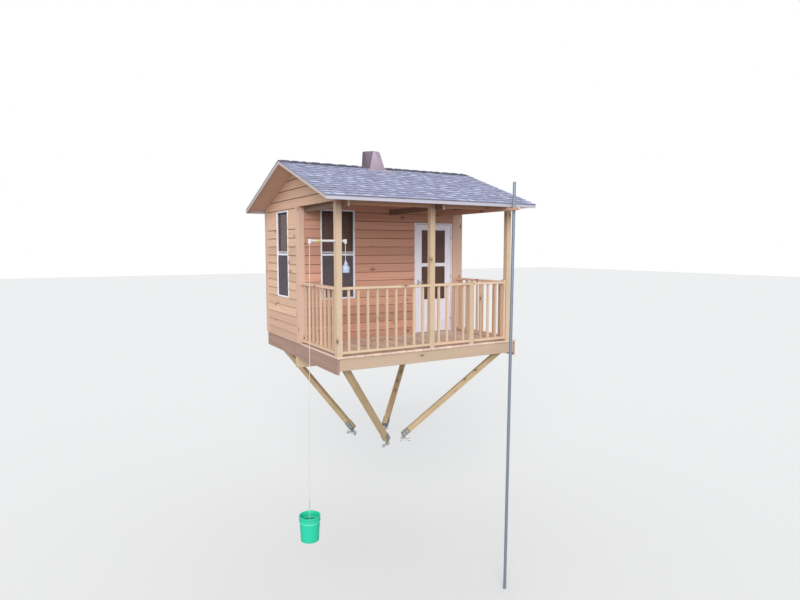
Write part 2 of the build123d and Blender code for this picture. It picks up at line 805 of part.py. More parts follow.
def hoist_load():
    foot = bucket_lip_z - bucket_height
    write("bucket", Pos(bucket_x, pipe_y, foot) * bucket())
    ear = bail_reach
    ear_z = -bail_ear_drop
    shoulder = bail_rise - bail_peak
    half = bail_crown / 2
    lean = atan((ear - half) / bail_peak)
    low_turn = bail_radius * tan(lean / 2)
    high_turn = bail_radius * tan(pi / 4 - lean / 2)
    outer = [(half + high_turn, bail_rise + bail_radius), (ear + bail_radius, shoulder + low_turn),
             (ear + bail_radius, ear_z)]
    inner = [(ear - bail_radius, ear_z), (ear - bail_radius, shoulder - low_turn),
             (half - high_turn, bail_rise - bail_radius)]
    right = outer + inner
    left = [(-x, z) for x, z in reversed(right)]
    wire = Plane.XZ * Polygon(*right, *left, align=None)
    bail = extrude(wire, amount=bail_radius, both=True)
    stud = ear + bail_radius - bucket_collar_radius - seat
    for side in (-1, 1):
        stud_x = side * (ear + bail_radius - stud / 2)
        bail += Pos(stud_x, 0, ear_z) * Rot(0, 90, 0) * Cylinder(bail_ear, stud)
    write("bucket_bail", Pos(bucket_x, pipe_y, bucket_lip_z) * Rot(0, 0, bail_turn) * bail)

    r, n = jug_radius, jug_neck_radius
    top = jug_height + jug_neck_height
    outline = [(0, 0), (r, 0), (r, jug_height * 0.7), (n, jug_height), (n, top), (0, top)]
    jug = revolve(Plane.XZ * Polygon(*outline, align=None), axis=Axis.Z)
    write("jug", Pos(pipe_right, pipe_y, jug_foot_z) * jug)


os.makedirs("parts", exist_ok=True)
rims()
floor()
main_beam()
braces()
posts()
railings()
rail_gate()
porch_beam()
ties()
pole()
cabin_walls()
porch_gables()
corner_boards()
windows()
door_parts()
roof_frame()
roof()
flashing()
hoist_pipe()
ropes()
hoist_load()
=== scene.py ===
import random
from math import ceil, floor, pi, radians

import bmesh
import bpy
from mathutils import Matrix, Vector


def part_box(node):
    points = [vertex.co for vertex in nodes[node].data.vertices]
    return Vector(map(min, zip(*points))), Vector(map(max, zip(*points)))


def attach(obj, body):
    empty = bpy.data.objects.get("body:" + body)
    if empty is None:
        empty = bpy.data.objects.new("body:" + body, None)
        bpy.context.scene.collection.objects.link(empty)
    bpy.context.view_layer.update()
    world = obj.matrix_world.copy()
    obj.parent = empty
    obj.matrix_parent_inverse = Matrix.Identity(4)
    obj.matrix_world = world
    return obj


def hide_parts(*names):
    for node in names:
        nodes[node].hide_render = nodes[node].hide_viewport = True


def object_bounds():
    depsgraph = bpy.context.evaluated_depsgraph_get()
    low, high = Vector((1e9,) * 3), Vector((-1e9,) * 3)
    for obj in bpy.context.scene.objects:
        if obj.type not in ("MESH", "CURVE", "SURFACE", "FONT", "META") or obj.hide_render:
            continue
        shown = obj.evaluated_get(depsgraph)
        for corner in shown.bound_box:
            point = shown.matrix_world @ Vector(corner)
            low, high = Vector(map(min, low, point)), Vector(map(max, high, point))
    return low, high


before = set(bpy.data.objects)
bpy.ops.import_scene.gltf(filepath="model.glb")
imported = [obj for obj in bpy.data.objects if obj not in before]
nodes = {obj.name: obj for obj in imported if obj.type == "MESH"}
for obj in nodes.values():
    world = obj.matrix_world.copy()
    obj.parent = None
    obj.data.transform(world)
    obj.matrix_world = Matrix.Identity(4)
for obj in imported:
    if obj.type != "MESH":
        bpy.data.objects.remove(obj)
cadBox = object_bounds()
dice = random.Random(11)

rightward = Vector((1, 0, 0))
backward = Vector((0, 1, 0))
upward = Vector((0, 0, 1))

# The front left corner of the deck, from which the builder's measures run
corner = Vector((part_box("left_rim")[0].x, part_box("left_rim")[0].y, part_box("deck_rear")[1].z))


def spot(x, y, z):
    return corner + Vector((x, y, z))


def putInScene(name, data):
    thing = bpy.data.objects.new(name, data)
    bpy.context.scene.collection.objects.link(thing)
    return thing


# Camera, light and floor

view = {"place": (-4.7739, -9.4001, 1.9399), "yaw": 0.5230, "pitch": 0.0883, "lens": 26.43, "sensor": 36}
light = {"sun": 2.05, "sunSpread": 0.7, "sunFrom": (-0.50, -0.80, 0.35), "sunColour": (1.0, 0.98, 0.95),
         "sky": 0.90, "skyColour": (0.96, 0.98, 1.0), "floorSeen": 0.78, "floorBounce": 0.32,
         "floorReach": 120, "floorGap": 0.001}


def placeCamera():
    bpy.context.scene.view_settings.view_transform = "Standard"
    data = bpy.data.cameras.new("photo_view")
    data.lens = view["lens"]
    data.sensor_width = view["sensor"]
    eye = putInScene("photo_view", data)
    eye.location = view["place"]
    eye.rotation_euler = (pi / 2 - view["pitch"], 0, -view["yaw"])
    bpy.context.scene.camera = eye


def lightScene():
    lamp = bpy.data.lights.new("soft_sun", "SUN")
    lamp.energy = light["sun"]
    lamp.angle = light["sunSpread"]
    lamp.color = light["sunColour"]
    sun = putInScene("soft_sun", lamp)
    sun.rotation_euler = Vector(light["sunFrom"]).to_track_quat("Z", "Y").to_euler()

    # the sky lights the object, and the camera, gloss and glass see plain white
    world = bpy.data.worlds.new("pale_sky")
    bpy.context.scene.world = world
    world.use_nodes = True
    tree = world.node_tree
    paths = tree.nodes.new("ShaderNodeLightPath")
    seen = paths.outputs["Is Camera Ray"]
    for ray in ("Is Glossy Ray", "Is Transmission Ray"):
        either = tree.nodes.new("ShaderNodeMath")
        either.operation = "MAXIMUM"
        tree.links.new(seen, either.inputs[0])
        tree.links.new(paths.outputs[ray], either.inputs[1])
        seen = either.outputs[0]
    shade = tree.nodes.new("ShaderNodeMix")
    shade.data_type = "RGBA"
    shade.inputs[6].default_value = (*[light["sky"] * part for part in light["skyColour"]], 1)
    shade.inputs[7].default_value = (1, 1, 1, 1)
    tree.links.new(seen, shade.inputs[0])
    tree.links.new(shade.outputs[2], tree.nodes["Background"].inputs["Color"])


def layFloor():
    bm = bmesh.new()
    bmesh.ops.create_grid(bm, x_segments=1, y_segments=1, size=light["floorReach"])
    bmesh.ops.translate(bm, vec=(0, 0, cadBox[0].z - light["floorGap"]), verts=bm.verts)
    mesh = bpy.data.meshes.new("pale_floor")
    bm.to_mesh(mesh)
    bm.free()
    ground = putInScene("pale_floor", mesh)
    finish = Finish("pale_floor", {"Roughness": 0.9, "Specular IOR Level": 0.1})
    seen = finish.add("ShaderNodeLightPath", output="Is Camera Ray")
    bounce, pale = [(value, value, value) for value in (light["floorBounce"], light["floorSeen"])]
    finish.set("Base Color", finish.mix(seen, bounce, pale))
    mesh.materials.append(finish.material)


# Shader maths, written as sums of sockets

class Wire:
    def __init__(self, finish, socket):
        self.finish = finish
        self.socket = socket

    def sum(self, operation, first, second):
        return self.finish.add("ShaderNodeMath", {"operation": operation}, {0: first, 1: second})

    def __add__(self, other):
        return self.sum("ADD", self, other)

    def __radd__(self, other):
        return self.sum("ADD", other, self)

    def __sub__(self, other):
        return self.sum("SUBTRACT", self, other)

    def __rsub__(self, other):
        return self.sum("SUBTRACT", other, self)

    def __mul__(self, other):
        return self.sum("MULTIPLY", self, other)

    def __rmul__(self, other):
        return self.sum("MULTIPLY", other, self)

    def __pow__(self, other):
        return self.sum("POWER", self, other)

    def wave(self):
        return self.finish.add("ShaderNodeMath", {"operation": "SINE"}, {0: self})

    def above(self, low, high):
        # 0 under low, 1 over high, with a soft step between
        return self.finish.add("ShaderNodeMapRange", {"interpolation_type": "SMOOTHSTEP"},
                               {"Value": self, "From Min": low, "From Max": high})


class Finish:
    def __init__(self, name, constants=None):
        self.material = bpy.data.materials.new(name)
        self.material.use_nodes = True
        self.tree = self.material.node_tree
        self.shader = self.tree.nodes["Principled BSDF"]
        for key, value in (constants or {}).items():
            self.shader.inputs[key].default_value = value

    def add(self, kind, settings=None, sockets=None, output=0):
        node = self.tree.nodes.new(kind)
        for key, value in (settings or {}).items():
            if key == "stops":
                for place in [stop[0] for stop in value[1:-1]]:
                    node.color_ramp.elements.new(place)
                for element, (place, colour) in zip(node.color_ramp.elements, value):
                    element.position = place
                    element.color = (*colour, 1)
            else:
                setattr(node, key, value)
        for key, value in (sockets or {}).items():
            socket = node.inputs[key]
            if isinstance(value, Wire):
                self.tree.links.new(value.socket, socket)
            elif socket.type == "RGBA":
                socket.default_value = (*value, 1)
            else:
                socket.default_value = value
        return Wire(self, node.outputs[output])

    def set(self, key, wire):
        self.tree.links.new(wire.socket, self.shader.inputs[key])

    def mix(self, share, first, second, blend="MIX"):
        return self.add("ShaderNodeMix", {"data_type": "RGBA", "blend_type": blend, "clamp_factor": True},
                        {0: share, 6: first, 7: second}, 2)

    def stretch(self, vector, scales):
        return self.add("ShaderNodeVectorMath", {"operation": "MULTIPLY"}, {0: vector, 1: scales})

    def noise(self, vector, scale=1.0, detail=2.0, roughness=0.5):
        return self.add("ShaderNodeTexNoise", None, {"Vector": vector, "Scale": scale, "Detail": detail,
                                                     "Roughness": roughness})

    def part(self, vector, axis):
        return self.add("ShaderNodeSeparateXYZ", None, {0: vector}, axis)

    def place(self):
        return self.add("ShaderNodeTexCoord", output="Object")

    def attribute(self, name, output):
        return self.add("ShaderNodeAttribute", {"attribute_name": name}, None, output)

    def bump(self, height, distance, strength=1.0):
        self.set("Normal", self.add("ShaderNodeBump", None, {"Height": height, "Distance": distance,
                                                             "Strength": strength}))


def woodFinish(name, pale, deep, knotColour=(0.14, 0.05, 0.025), knots=0.12, ringGap=0.013, wander=0.025,
               contrast=0.55, toneSpread=0.25, stain=None, stainShare=0.0, roughness=0.62, undersideShade=0.0):
    # sawn wood: rings across the board, fibres along it, knots and a tone for each board;
    # a stain is the greenish or grey cast of patches, and the underside shade is painted shade on faces that
    # look down, the dark underside of a lap
    wood = Finish(name, {"Specular IOR Level": 0.28})
    grain = wood.attribute("grain", "Vector")
    tone = wood.attribute("tone", "Fac")
    along, side, third = [wood.part(grain, axis) for axis in range(3)]
    drift = wood.noise(wood.stretch(grain, (0.8, 4.5, 4.5)), detail=1.5)
    across = side + third * 0.35 + (drift - 0.5) * (2 * wander)
    rings = ((across * (2 * pi / ringGap)).wave() * 0.5 + 0.5) ** 1.6
    fibre = wood.noise(wood.stretch(grain, (9, 330, 330)), detail=2)
    streak = wood.noise(wood.stretch(grain, (0.7, 22, 22)), detail=3, roughness=0.6)
    knotMap = wood.add("ShaderNodeCombineXYZ", None, {0: along * 4, 1: (side + third) * 9})
    knotCells = {"voronoi_dimensions": "2D"}
    knotSockets = {"Vector": knotMap, "Scale": 1.0}
    near = wood.add("ShaderNodeTexVoronoi", knotCells, knotSockets)
    draw = wood.part(wood.add("ShaderNodeTexVoronoi", knotCells, knotSockets, "Color"), 0)
    chosen = draw.above(1 - knots - 0.01, 1 - knots + 0.01)
    knot = (1 - near.above(0.08, 0.13)) * chosen
    halo = (1 - near.above(0.11, 0.42)) * chosen
    share = rings * 0.35 + streak * 0.75 + fibre * 0.25 - 0.2
    colour = wood.mix(share * contrast, pale, deep)
    middle = [(one + two) / 2 for one, two in zip(pale, deep)]
    shaded = wood.mix(tone * toneSpread, colour, [part * 0.62 for part in middle])
    shaded = wood.mix(halo * 0.45, shaded, [part * 0.7 for part in deep])
    if stain:
        patches = wood.noise(wood.place(), 1.7, detail=4, roughness=0.6).above(0.42, 0.68)
        shaded = wood.mix(patches * stainShare, shaded, stain)
    if undersideShade:
        # painted shade: faces whose normal points down are darkened towards near black
        facing = wood.add("ShaderNodeNewGeometry", output="Normal")
        shaded = wood.mix((0 - wood.part(facing, 2)).above(0.4, 0.7) * undersideShade, shaded, (0.05, 0.025, 0.015))
    wood.set("Base Color", wood.mix(knot * 0.85, shaded, knotColour))
    wood.set("Roughness", fibre * 0.2 + (roughness - 0.1))
    wood.bump(fibre * 0.5 + rings * 0.25 - knot * 0.4, 0.0011)
    return wood.material


def makeFinishes():
    made = {}
    made["siding"] = woodFinish("cedar_siding", (0.88, 0.60, 0.44), (0.58, 0.32, 0.20), knots=0.05,
                                toneSpread=0.5, contrast=0.6, undersideShade=0.85)
    made["porchSiding"] = woodFinish("porch_siding", (0.78, 0.44, 0.33), (0.46, 0.20, 0.13), knots=0.08,
                                     toneSpread=0.55, contrast=0.6, undersideShade=0.85)
    made["trim"] = woodFinish("corner_trim", (0.82, 0.58, 0.47), (0.58, 0.34, 0.24), knots=0.16,
                              toneSpread=0.25)
    made["pine"] = woodFinish("treated_pine", (0.77, 0.59, 0.43), (0.52, 0.36, 0.23), knots=0.12,
                              stain=(0.52, 0.44, 0.28), stainShare=0.35, toneSpread=0.3)
    made["rail"] = woodFinish("rail_cedar", (0.82, 0.60, 0.45), (0.56, 0.34, 0.21), knots=0.08,
                              toneSpread=0.6)
    made["deck"] = woodFinish("deck_boards", (0.95, 0.76, 0.65), (0.68, 0.49, 0.38), knots=0.08,
                              toneSpread=0.5, contrast=0.6)
    made["paleRim"] = woodFinish("front_rim", (0.64, 0.48, 0.37), (0.42, 0.28, 0.20), knots=0.08,
                                 stain=(0.50, 0.40, 0.27), stainShare=0.5)
    made["sideRim"] = woodFinish("side_rim", (0.57, 0.37, 0.30), (0.29, 0.17, 0.13), knots=0.10,
                                 stain=(0.34, 0.23, 0.19), stainShare=0.45, contrast=1.0)
    made["frame"] = woodFinish("frame_timber", (0.74, 0.46, 0.33), (0.45, 0.25, 0.16), knots=0.10)
    # painted shade: the rafters, ridge board and roof ties get a near-black timber colour for the shade under
    # the roof
    made["ceiling"] = woodFinish("rafter_timber_painted_shade", (0.28, 0.18, 0.13), (0.16, 0.09, 0.065), knots=0.10)
    made["rake"] = woodFinish("rake_boards", (0.64, 0.53, 0.50), (0.46, 0.36, 0.33), knots=0.04)
    made["brace"] = woodFinish("brace_timber", (0.64, 0.47, 0.29), (0.42, 0.29, 0.16), knots=0.12,
                               stain=(0.38, 0.31, 0.17), stainShare=0.5)
    made["plywood"] = plywoodFinish()
    made["roofSlab"] = roofSlabFinish()
    made["shingle"] = shingleFinish("roof_shingle", 1.0)
    # painted shade: the ridge cap gets 0.28 of the shingle colour, for the shaded dark line along the ridge,
    # over the cap's own dark colour
    made["ridgeShingle"] = shingleFinish("ridge_shingle", 0.28)
    made["fascia"] = paintFinish("eave_metal", (0.50, 0.49, 0.58), 0.38, grime=0.25)
    made["vinyl"] = paintFinish("white_vinyl", (0.86, 0.86, 0.96), 0.32, grime=0.12)
    made["door"] = paintFinish("door_paint", (0.90, 0.90, 1.0), 0.30, grime=0.10)
    # near-black rubber for the door sweep, also used as painted shade in the windows' gap and recesses
    made["seal"] = paintFinish("door_seal", (0.10, 0.095, 0.10), 0.7, grime=0.2)
    made["pipe"] = paintFinish("white_pipe", (0.72, 0.71, 0.76), 0.30, grime=0.18)
    made["tape"] = paintFinish("yellow_tape", (0.72, 0.60, 0.14), 0.45, grime=0.2)
    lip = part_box("bucket")[1].z
    # painted highlight: a paler ring below the lip stands for the light caught by the bucket's rib
    made["bucket"] = paintFinish("bucket_plastic", (0.022, 0.62, 0.39), 0.34, grime=0.14,
                                 highlightBand=(lip - 0.098, lip - 0.080, (0.14, 0.88, 0.62)))
    made["jug"] = paintFinish("jug_plastic", (0.48, 0.60, 0.80), 0.28, grime=0.1)
    made["galvanised"] = metalFinish("galvanised_steel", (0.60, 0.62, 0.65), 0.42, 0.5)
    made["shoe"] = metalFinish("shoe_steel", (0.28, 0.29, 0.27), 0.5, 0.4)
    made["pole"] = metalFinish("pole_steel", (0.27, 0.31, 0.40), 0.5, 0.45)
    made["flashing"] = metalFinish("flashing_sheet", (0.44, 0.36, 0.44), 0.5, 0.4)
    # painted reflection: a near-black copy of the flashing metal for the collar's left facets, which mirror
    # the dark trunk
    made["flashingDark"] = metalFinish("flashing_painted_dark_reflection", (0.17, 0.12, 0.165), 0.55, 0.3)
    made["wire"] = metalFinish("steel_wire", (0.45, 0.45, 0.45), 0.4, 0.7)
    made["glass"] = glassFinish()
    made["screen"] = screenFinish()
    made["rope"] = ropeFinish()
    return made


def veneer(finish, stretches, driftScale, ringPitch, ringDrift):
    # plywood's broad wandering rings and fine fibres
    place = finish.place()
    drift = finish.noise(finish.stretch(place, stretches[0]), driftScale, detail=3)
    rings = ((finish.part(place, 1) * ringPitch + drift * ringDrift).wave() * 0.5 + 0.5)
    return drift, rings, finish.noise(finish.stretch(place, stretches[1]), detail=2)


def plywoodFinish():
    ply = Finish("soffit_plywood", {"Specular IOR Level": 0.25})
    drift, rings, fibre = veneer(ply, ((1.2, 0.7, 3.0), (12, 240, 240)), 1.3, 60, 26)
    share = rings * 0.25 + fibre * 0.35 + drift * 0.4
    ply.set("Base Color", ply.mix(share, (0.47, 0.32, 0.21), (0.30, 0.18, 0.11)))
    ply.set("Roughness", fibre * 0.2 + 0.6)
    ply.bump(fibre * 0.5 + rings * 0.2, 0.0008)
    return ply.material


def roofSlabFinish():
    # plywood below, pale metal edge round the rim
    slab = Finish("roof_sheathing", {"Specular IOR Level": 0.25})
    facing = slab.add("ShaderNodeNewGeometry", output="Normal")
    underside = (0 - slab.part(facing, 2)).above(0.3, 0.5)
    drift, rings, fibre = veneer(slab, ((0.8, 2.6, 2.6), (10, 240, 240)), 1.0, 52, 24)
    wood = slab.mix(rings * 0.25 + fibre * 0.3 + drift * 0.4, (0.80, 0.53, 0.41), (0.56, 0.35, 0.25))
    slab.set("Base Color", slab.mix(underside, (0.52, 0.50, 0.58), wood))
    slab.set("Roughness", fibre * 0.2 + 0.5)
    slab.bump(fibre * 0.4, 0.0006)
    return slab.material


def shingleFinish(name, strength):
    shingle = Finish(name, {"Specular IOR Level": 0.2})
    place = shingle.place()
    tone = shingle.attribute("tone", "Fac")
    grit = shingle.noise(place, 420, detail=3, roughness=0.7)
    blotch = shingle.noise(shingle.stretch(place, (9, 30, 30)), detail=3)
    shade = tone * 0.9 + (grit - 0.5) * 0.7 + (blotch - 0.5) * 0.35
    stops = [(0.0, (0.14, 0.14, 0.20)), (0.35, (0.33, 0.34, 0.48)), (0.7, (0.50, 0.53, 0.74)),
             (1.0, (0.68, 0.72, 0.92))]
    stops = [(at, [strength * part for part in colour]) for at, colour in stops]
    face = shingle.add("ShaderNodeValToRGB", {"stops": stops}, {0: shade})
    # painted shade: the upright butt faces along each row's lower edge are darkened towards the darkest stop
    paintedButtShade = 1 - shingle.part(shingle.add("ShaderNodeNewGeometry", output="Normal"), 2).above(0.2, 0.6)
    shingle.set("Base Color", shingle.mix(paintedButtShade * 0.8, face, [part * 0.8 for part in stops[0][1]]))
    shingle.set("Roughness", grit * 0.2 + 0.72)
    shingle.bump(grit, 0.0022)
    return shingle.material


def paintFinish(name, colour, roughness, grime=0.15, highlightBand=None):
    # smooth paint or plastic with faint grime and a soft uneven gloss; a highlight band is a paler ring at
    # one height, a painted highlight
    paint = Finish(name)
    place = paint.place()
    cloud = paint.noise(place, 3.5, detail=5, roughness=0.62)
    speck = paint.noise(place, 160, detail=2)
    runs = paint.noise(paint.stretch(place, (26, 26, 1.6)), detail=3)
    dirt = (cloud * 0.6 + runs * 0.4).above(0.48, 0.78)
    shade = paint.mix(dirt * grime, colour, [part * 0.62 + 0.02 for part in colour])
    if highlightBand:
        low, high, pale = highlightBand
        height = paint.part(place, 2)
        inside = height.above(low, low + 0.004) - height.above(high, high + 0.004)
        shade = paint.mix(inside, shade, pale)
    paint.set("Base Color", shade)
    paint.set("Roughness", cloud * 0.16 + dirt * 0.1 + (roughness - 0.08))
    paint.bump(speck * 0.6 + cloud * 0.4, 0.0003)
    return paint.material


def metalFinish(name, colour, roughness, metallic):
    metal = Finish(name, {"Metallic": metallic})
    place = metal.place()
    cells = metal.add("ShaderNodeTexVoronoi", None, {"Vector": place, "Scale": 70.0}, "Color")
    flakes = metal.part(cells, 1)
    cloud = metal.noise(place, 5, detail=4, roughness=0.6)
    scuff = metal.noise(metal.stretch(place, (9, 9, 60)), detail=4, roughness=0.7).above(0.56, 0.8)
    dull = [part * 0.7 for part in colour]
    metal.set("Base Color", metal.mix(flakes * 0.25 + cloud * 0.35 + scuff * 0.3, colour, dull))
    metal.set("Roughness", flakes * 0.12 + cloud * 0.18 + scuff * 0.1 + (roughness - 0.12))
    metal.bump(flakes * 0.3 + cloud * 0.7, 0.0004)
    return metal.material


def glassFinish():
    glass = Finish("glass_painted_dark_room", {"Roughness": 0.03, "Alpha": 0.68, "IOR": 1.5, "Specular IOR Level": 0.15})
    # painted shade: the glass is a half-opaque dark brown for the unlit room behind it, mottled by noise
    glassMottle = glass.noise(glass.place(), 2.2, detail=4)
    glass.set("Base Color", glass.mix(glassMottle, (0.11, 0.06, 0.052), (0.21, 0.13, 0.115)))
    return glass.material


def screenFinish(mesh=0.0016):
    screen = Finish("insect_screen", {"Roughness": 0.7, "Specular IOR Level": 0.3})
    place = screen.place()
    pitch = 2 * pi / mesh
    flat = screen.part(place, 0) + screen.part(place, 1)
    weave = ((flat * pitch).wave() * 0.5 + 0.5) * ((screen.part(place, 2) * pitch).wave() * 0.5 + 0.5)
    cloud = screen.noise(place, 2.5, detail=3)
    screen.set("Base Color", screen.mix(cloud, (0.10, 0.085, 0.105), (0.16, 0.13, 0.155)))
    screen.set("Alpha", 0.85 - weave * 0.45)
    return screen.material


def ropeFinish(strand=0.011):
    # strands twisted round the line of the rope
    rope = Finish("braided_rope", {"Specular IOR Level": 0.2, "Roughness": 0.85})
    place = rope.place()
    across, over, along = [rope.part(place, axis) for axis in range(3)]
    lay = ((along + across * 1.4 + over * 1.4) * (2 * pi / strand)).wave()
    fuzz = rope.noise(rope.stretch(place, (900, 900, 240)), detail=2)
    rope.set("Base Color", rope.mix(lay * 0.35 + fuzz * 0.5, (0.80, 0.78, 0.80), (0.50, 0.46, 0.48)))
    rope.bump(lay * 0.6 + fuzz * 0.4, 0.0012)
    return rope.material


# Mesh helpers

meshing = {"weld": 1e-5, "flatAngle": 0.5, "sharpAngle": 35}
bolt = {"washer": 1.6, "washerThick": 0.25, "headThick": 1.1}
screw = {"radius": 0.0042, "proud": 0.0006, "sides": 8}


def newMesh():
    bm = bmesh.new()
    addLayers(bm)
    return bm


def addLayers(bm):
    bm.verts.layers.float_vector.new("grain")
    bm.verts.layers.float.new("tone")


def markGrain(bm, verts, along, tone=None):
    grainLayer = bm.verts.layers.float_vector["grain"]
    toneLayer = bm.verts.layers.float["tone"]
    side = along.cross(upward)
    side = side.normalized() if side.length > 0.1 else rightward
    third = along.cross(side)
    shift = Vector((dice.uniform(0, 30), dice.uniform(0, 30), dice.uniform(0, 30)))
    value = dice.random() if tone is None else tone
    for vert in verts:
        vert[grainLayer] = Vector((vert.co.dot(along), vert.co.dot(side), vert.co.dot(third))) + shift
        vert[toneLayer] = value


def addBlock(bm, low, high):
    low, high = Vector(low), Vector(high)
    made = bmesh.ops.create_cube(bm, size=1)["verts"]
    bmesh.ops.scale(bm, vec=high - low, verts=made)
    bmesh.ops.translate(bm, vec=(low + high) / 2, verts=made)
    return made


def addBoard(bm, low, high, along, ease=0.0025, tone=None):
    # a sawn board between two corners, with its edges eased
    made = addBlock(bm, low, high)
    if ease:
        edges = list({edge for vert in made for edge in vert.link_edges})
        rounded = bmesh.ops.bevel(bm, geom=edges, offset=ease, segments=1, profile=0.5, affect="EDGES",
                                  material=-1)
        made = rounded["verts"]
    markGrain(bm, made, along, tone)
    return made


def addPlate(bm, place, low, high, along, ease):
    # a small board whose two corners are given from a place on the object
    addBoard(bm, place + Vector(low), place + Vector(high), along, ease)


def addRod(bm, start, end, radius, segments=16):
    start, end = Vector(start), Vector(end)
    run = end - start
    turn = run.to_track_quat("Z", "Y").to_matrix().to_4x4()
    place = Matrix.Translation((start + end) / 2) @ turn
    bmesh.ops.create_cone(bm, cap_ends=True, segments=segments, radius1=radius, radius2=radius,
                          depth=run.length, matrix=place)


def addPin(bm, place, ends, radius, segments=16):
    addRod(bm, place + Vector(ends[0]), place + Vector(ends[1]), radius, segments)


def addBolt(bm, seat, outward, size):
    # hexagon head on a washer; the size is half the head's width
    washer, head = [seat + outward * size * bolt[part] for part in ("washerThick", "headThick")]
    addRod(bm, seat, washer, size * bolt["washer"], 20)
    addRod(bm, washer, head, size, 6)


def addScrew(bm, seat, outward, sunk):
    addRod(bm, seat - outward * sunk, seat + outward * screw["proud"], screw["radius"], screw["sides"])


def newPiece(name, bm, finish, replaces=(), body="tree_house", smooth=None, recalc=False):
    if recalc:
        bmesh.ops.recalc_face_normals(bm, faces=bm.faces)
    mesh = bpy.data.meshes.new(name)
    bm.to_mesh(mesh)
    bm.free()
    if smooth:
        mesh.shade_smooth()
        mesh.set_sharp_from_angle(angle=radians(smooth))
    piece = putInScene(name, mesh)
    mesh.materials.append(finish)
    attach(piece, body)
    if replaces:
        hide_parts(*replaces)
    return piece


def finishNode(name, finish):
    nodes[name].data.materials.clear()
    nodes[name].data.materials.append(finish)


def smoothNode(name, finish, ease):
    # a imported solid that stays: its loose triangles are welded and its corners rounded for the light
    finishNode(name, finish)
    piece = nodes[name]
    piece.data.shade_smooth()
    weld = piece.modifiers.new("weld", "WELD")
    weld.merge_threshold = meshing["weld"]
    rounding = piece.modifiers.new("corners", "BEVEL")
    rounding.limit_method = "ANGLE"
    rounding.angle_limit = radians(meshing["sharpAngle"])
    rounding.width = ease
    rounding.segments = 2
    rounding.harden_normals = True


def copyNodes(*names):
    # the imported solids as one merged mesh
    bm = bmesh.new()
    for name in names:
        bm.from_mesh(nodes[name].data)
    bmesh.ops.remove_doubles(bm, verts=bm.verts, dist=meshing["weld"])
    bmesh.ops.dissolve_limit(bm, angle_limit=radians(meshing["flatAngle"]), verts=bm.verts, edges=bm.edges)
    addLayers(bm)
    return bm


def easeEdges(bm, width):
    sharp = radians(meshing["sharpAngle"])
    edges = [edge for edge in bm.edges if len(edge.link_faces) == 2 and edge.calc_face_angle() > sharp]
    bmesh.ops.bevel(bm, geom=edges, offset=width, segments=1, profile=0.5, affect="EDGES", material=-1,
                    clamp_overlap=True)


def islands(bm):
    # the separate solids, sorted by place so that every run gives each one the same tone
    groups, seen = [], set()
    for first in bm.verts:
        if first in seen:
            continue
        seen.add(first)
        group = [first]
        for vert in group:
            fresh = [edge.other_vert(vert) for edge in vert.link_edges if edge.other_vert(vert) not in seen]
            seen.update(fresh)
            group += fresh
        groups.append(group)
    return sorted(groups, key=lambda group: [round(pick(vert.co[axis] for vert in group), 4)
                                             for pick in (min, max) for axis in range(3)])


def dressTimber(name, nodeNames, finish, ease=0.003):
    # each solid gets eased edges and a grain along its longest edge
    bm = copyNodes(*nodeNames)
    easeEdges(bm, ease)
    for group in islands(bm):
        edges = {edge for vert in group for edge in vert.link_edges}
        longest = max(edges, key=lambda edge: edge.calc_length())
        along = (longest.verts[1].co - longest.verts[0].co).normalized()
        if max(along, key=abs) < 0:
            along.negate()
        markGrain(bm, group, along)
    return newPiece(name, bm, finish, nodeNames)


def dressSolid(name, nodeNames, finish, body="tree_house", ease=0.0, smooth=40):
    bm = copyNodes(*nodeNames)
    if ease:
        easeEdges(bm, ease)
    return newPiece(name, bm, finish, nodeNames, body, smooth)


def paintWhere(piece, finish, test):
    # a second finish for the faces that a test on middle and normal picks
    piece.data.materials.append(finish)
    for face in piece.data.polygons:
        if test(face.center, face.normal):
            face.material_index = len(piece.data.materials) - 1


def trimAbove(bm, place, normal):
    # cut away what lies past a plane and close the cut
    cut = bmesh.ops.bisect_plane(bm, geom=bm.verts[:] + bm.edges[:] + bm.faces[:], dist=1e-6,
                                 plane_co=place, plane_no=normal, clear_outer=True)
    edges = [part for part in cut["geom_cut"] if isinstance(part, bmesh.types.BMEdge)]
    bmesh.ops.holes_fill(bm, edges=edges, sides=0)


# Deck

deck = {"board": 0.138, "gap": 0.008, "raggedEnds": (-0.018, -0.004), "roundedEdge": 0.005,
        "screwPlaces": (0.2, 0.8), "screwWander": 0.004, "screwSunk": 0.002, "screwClear": 0.02}


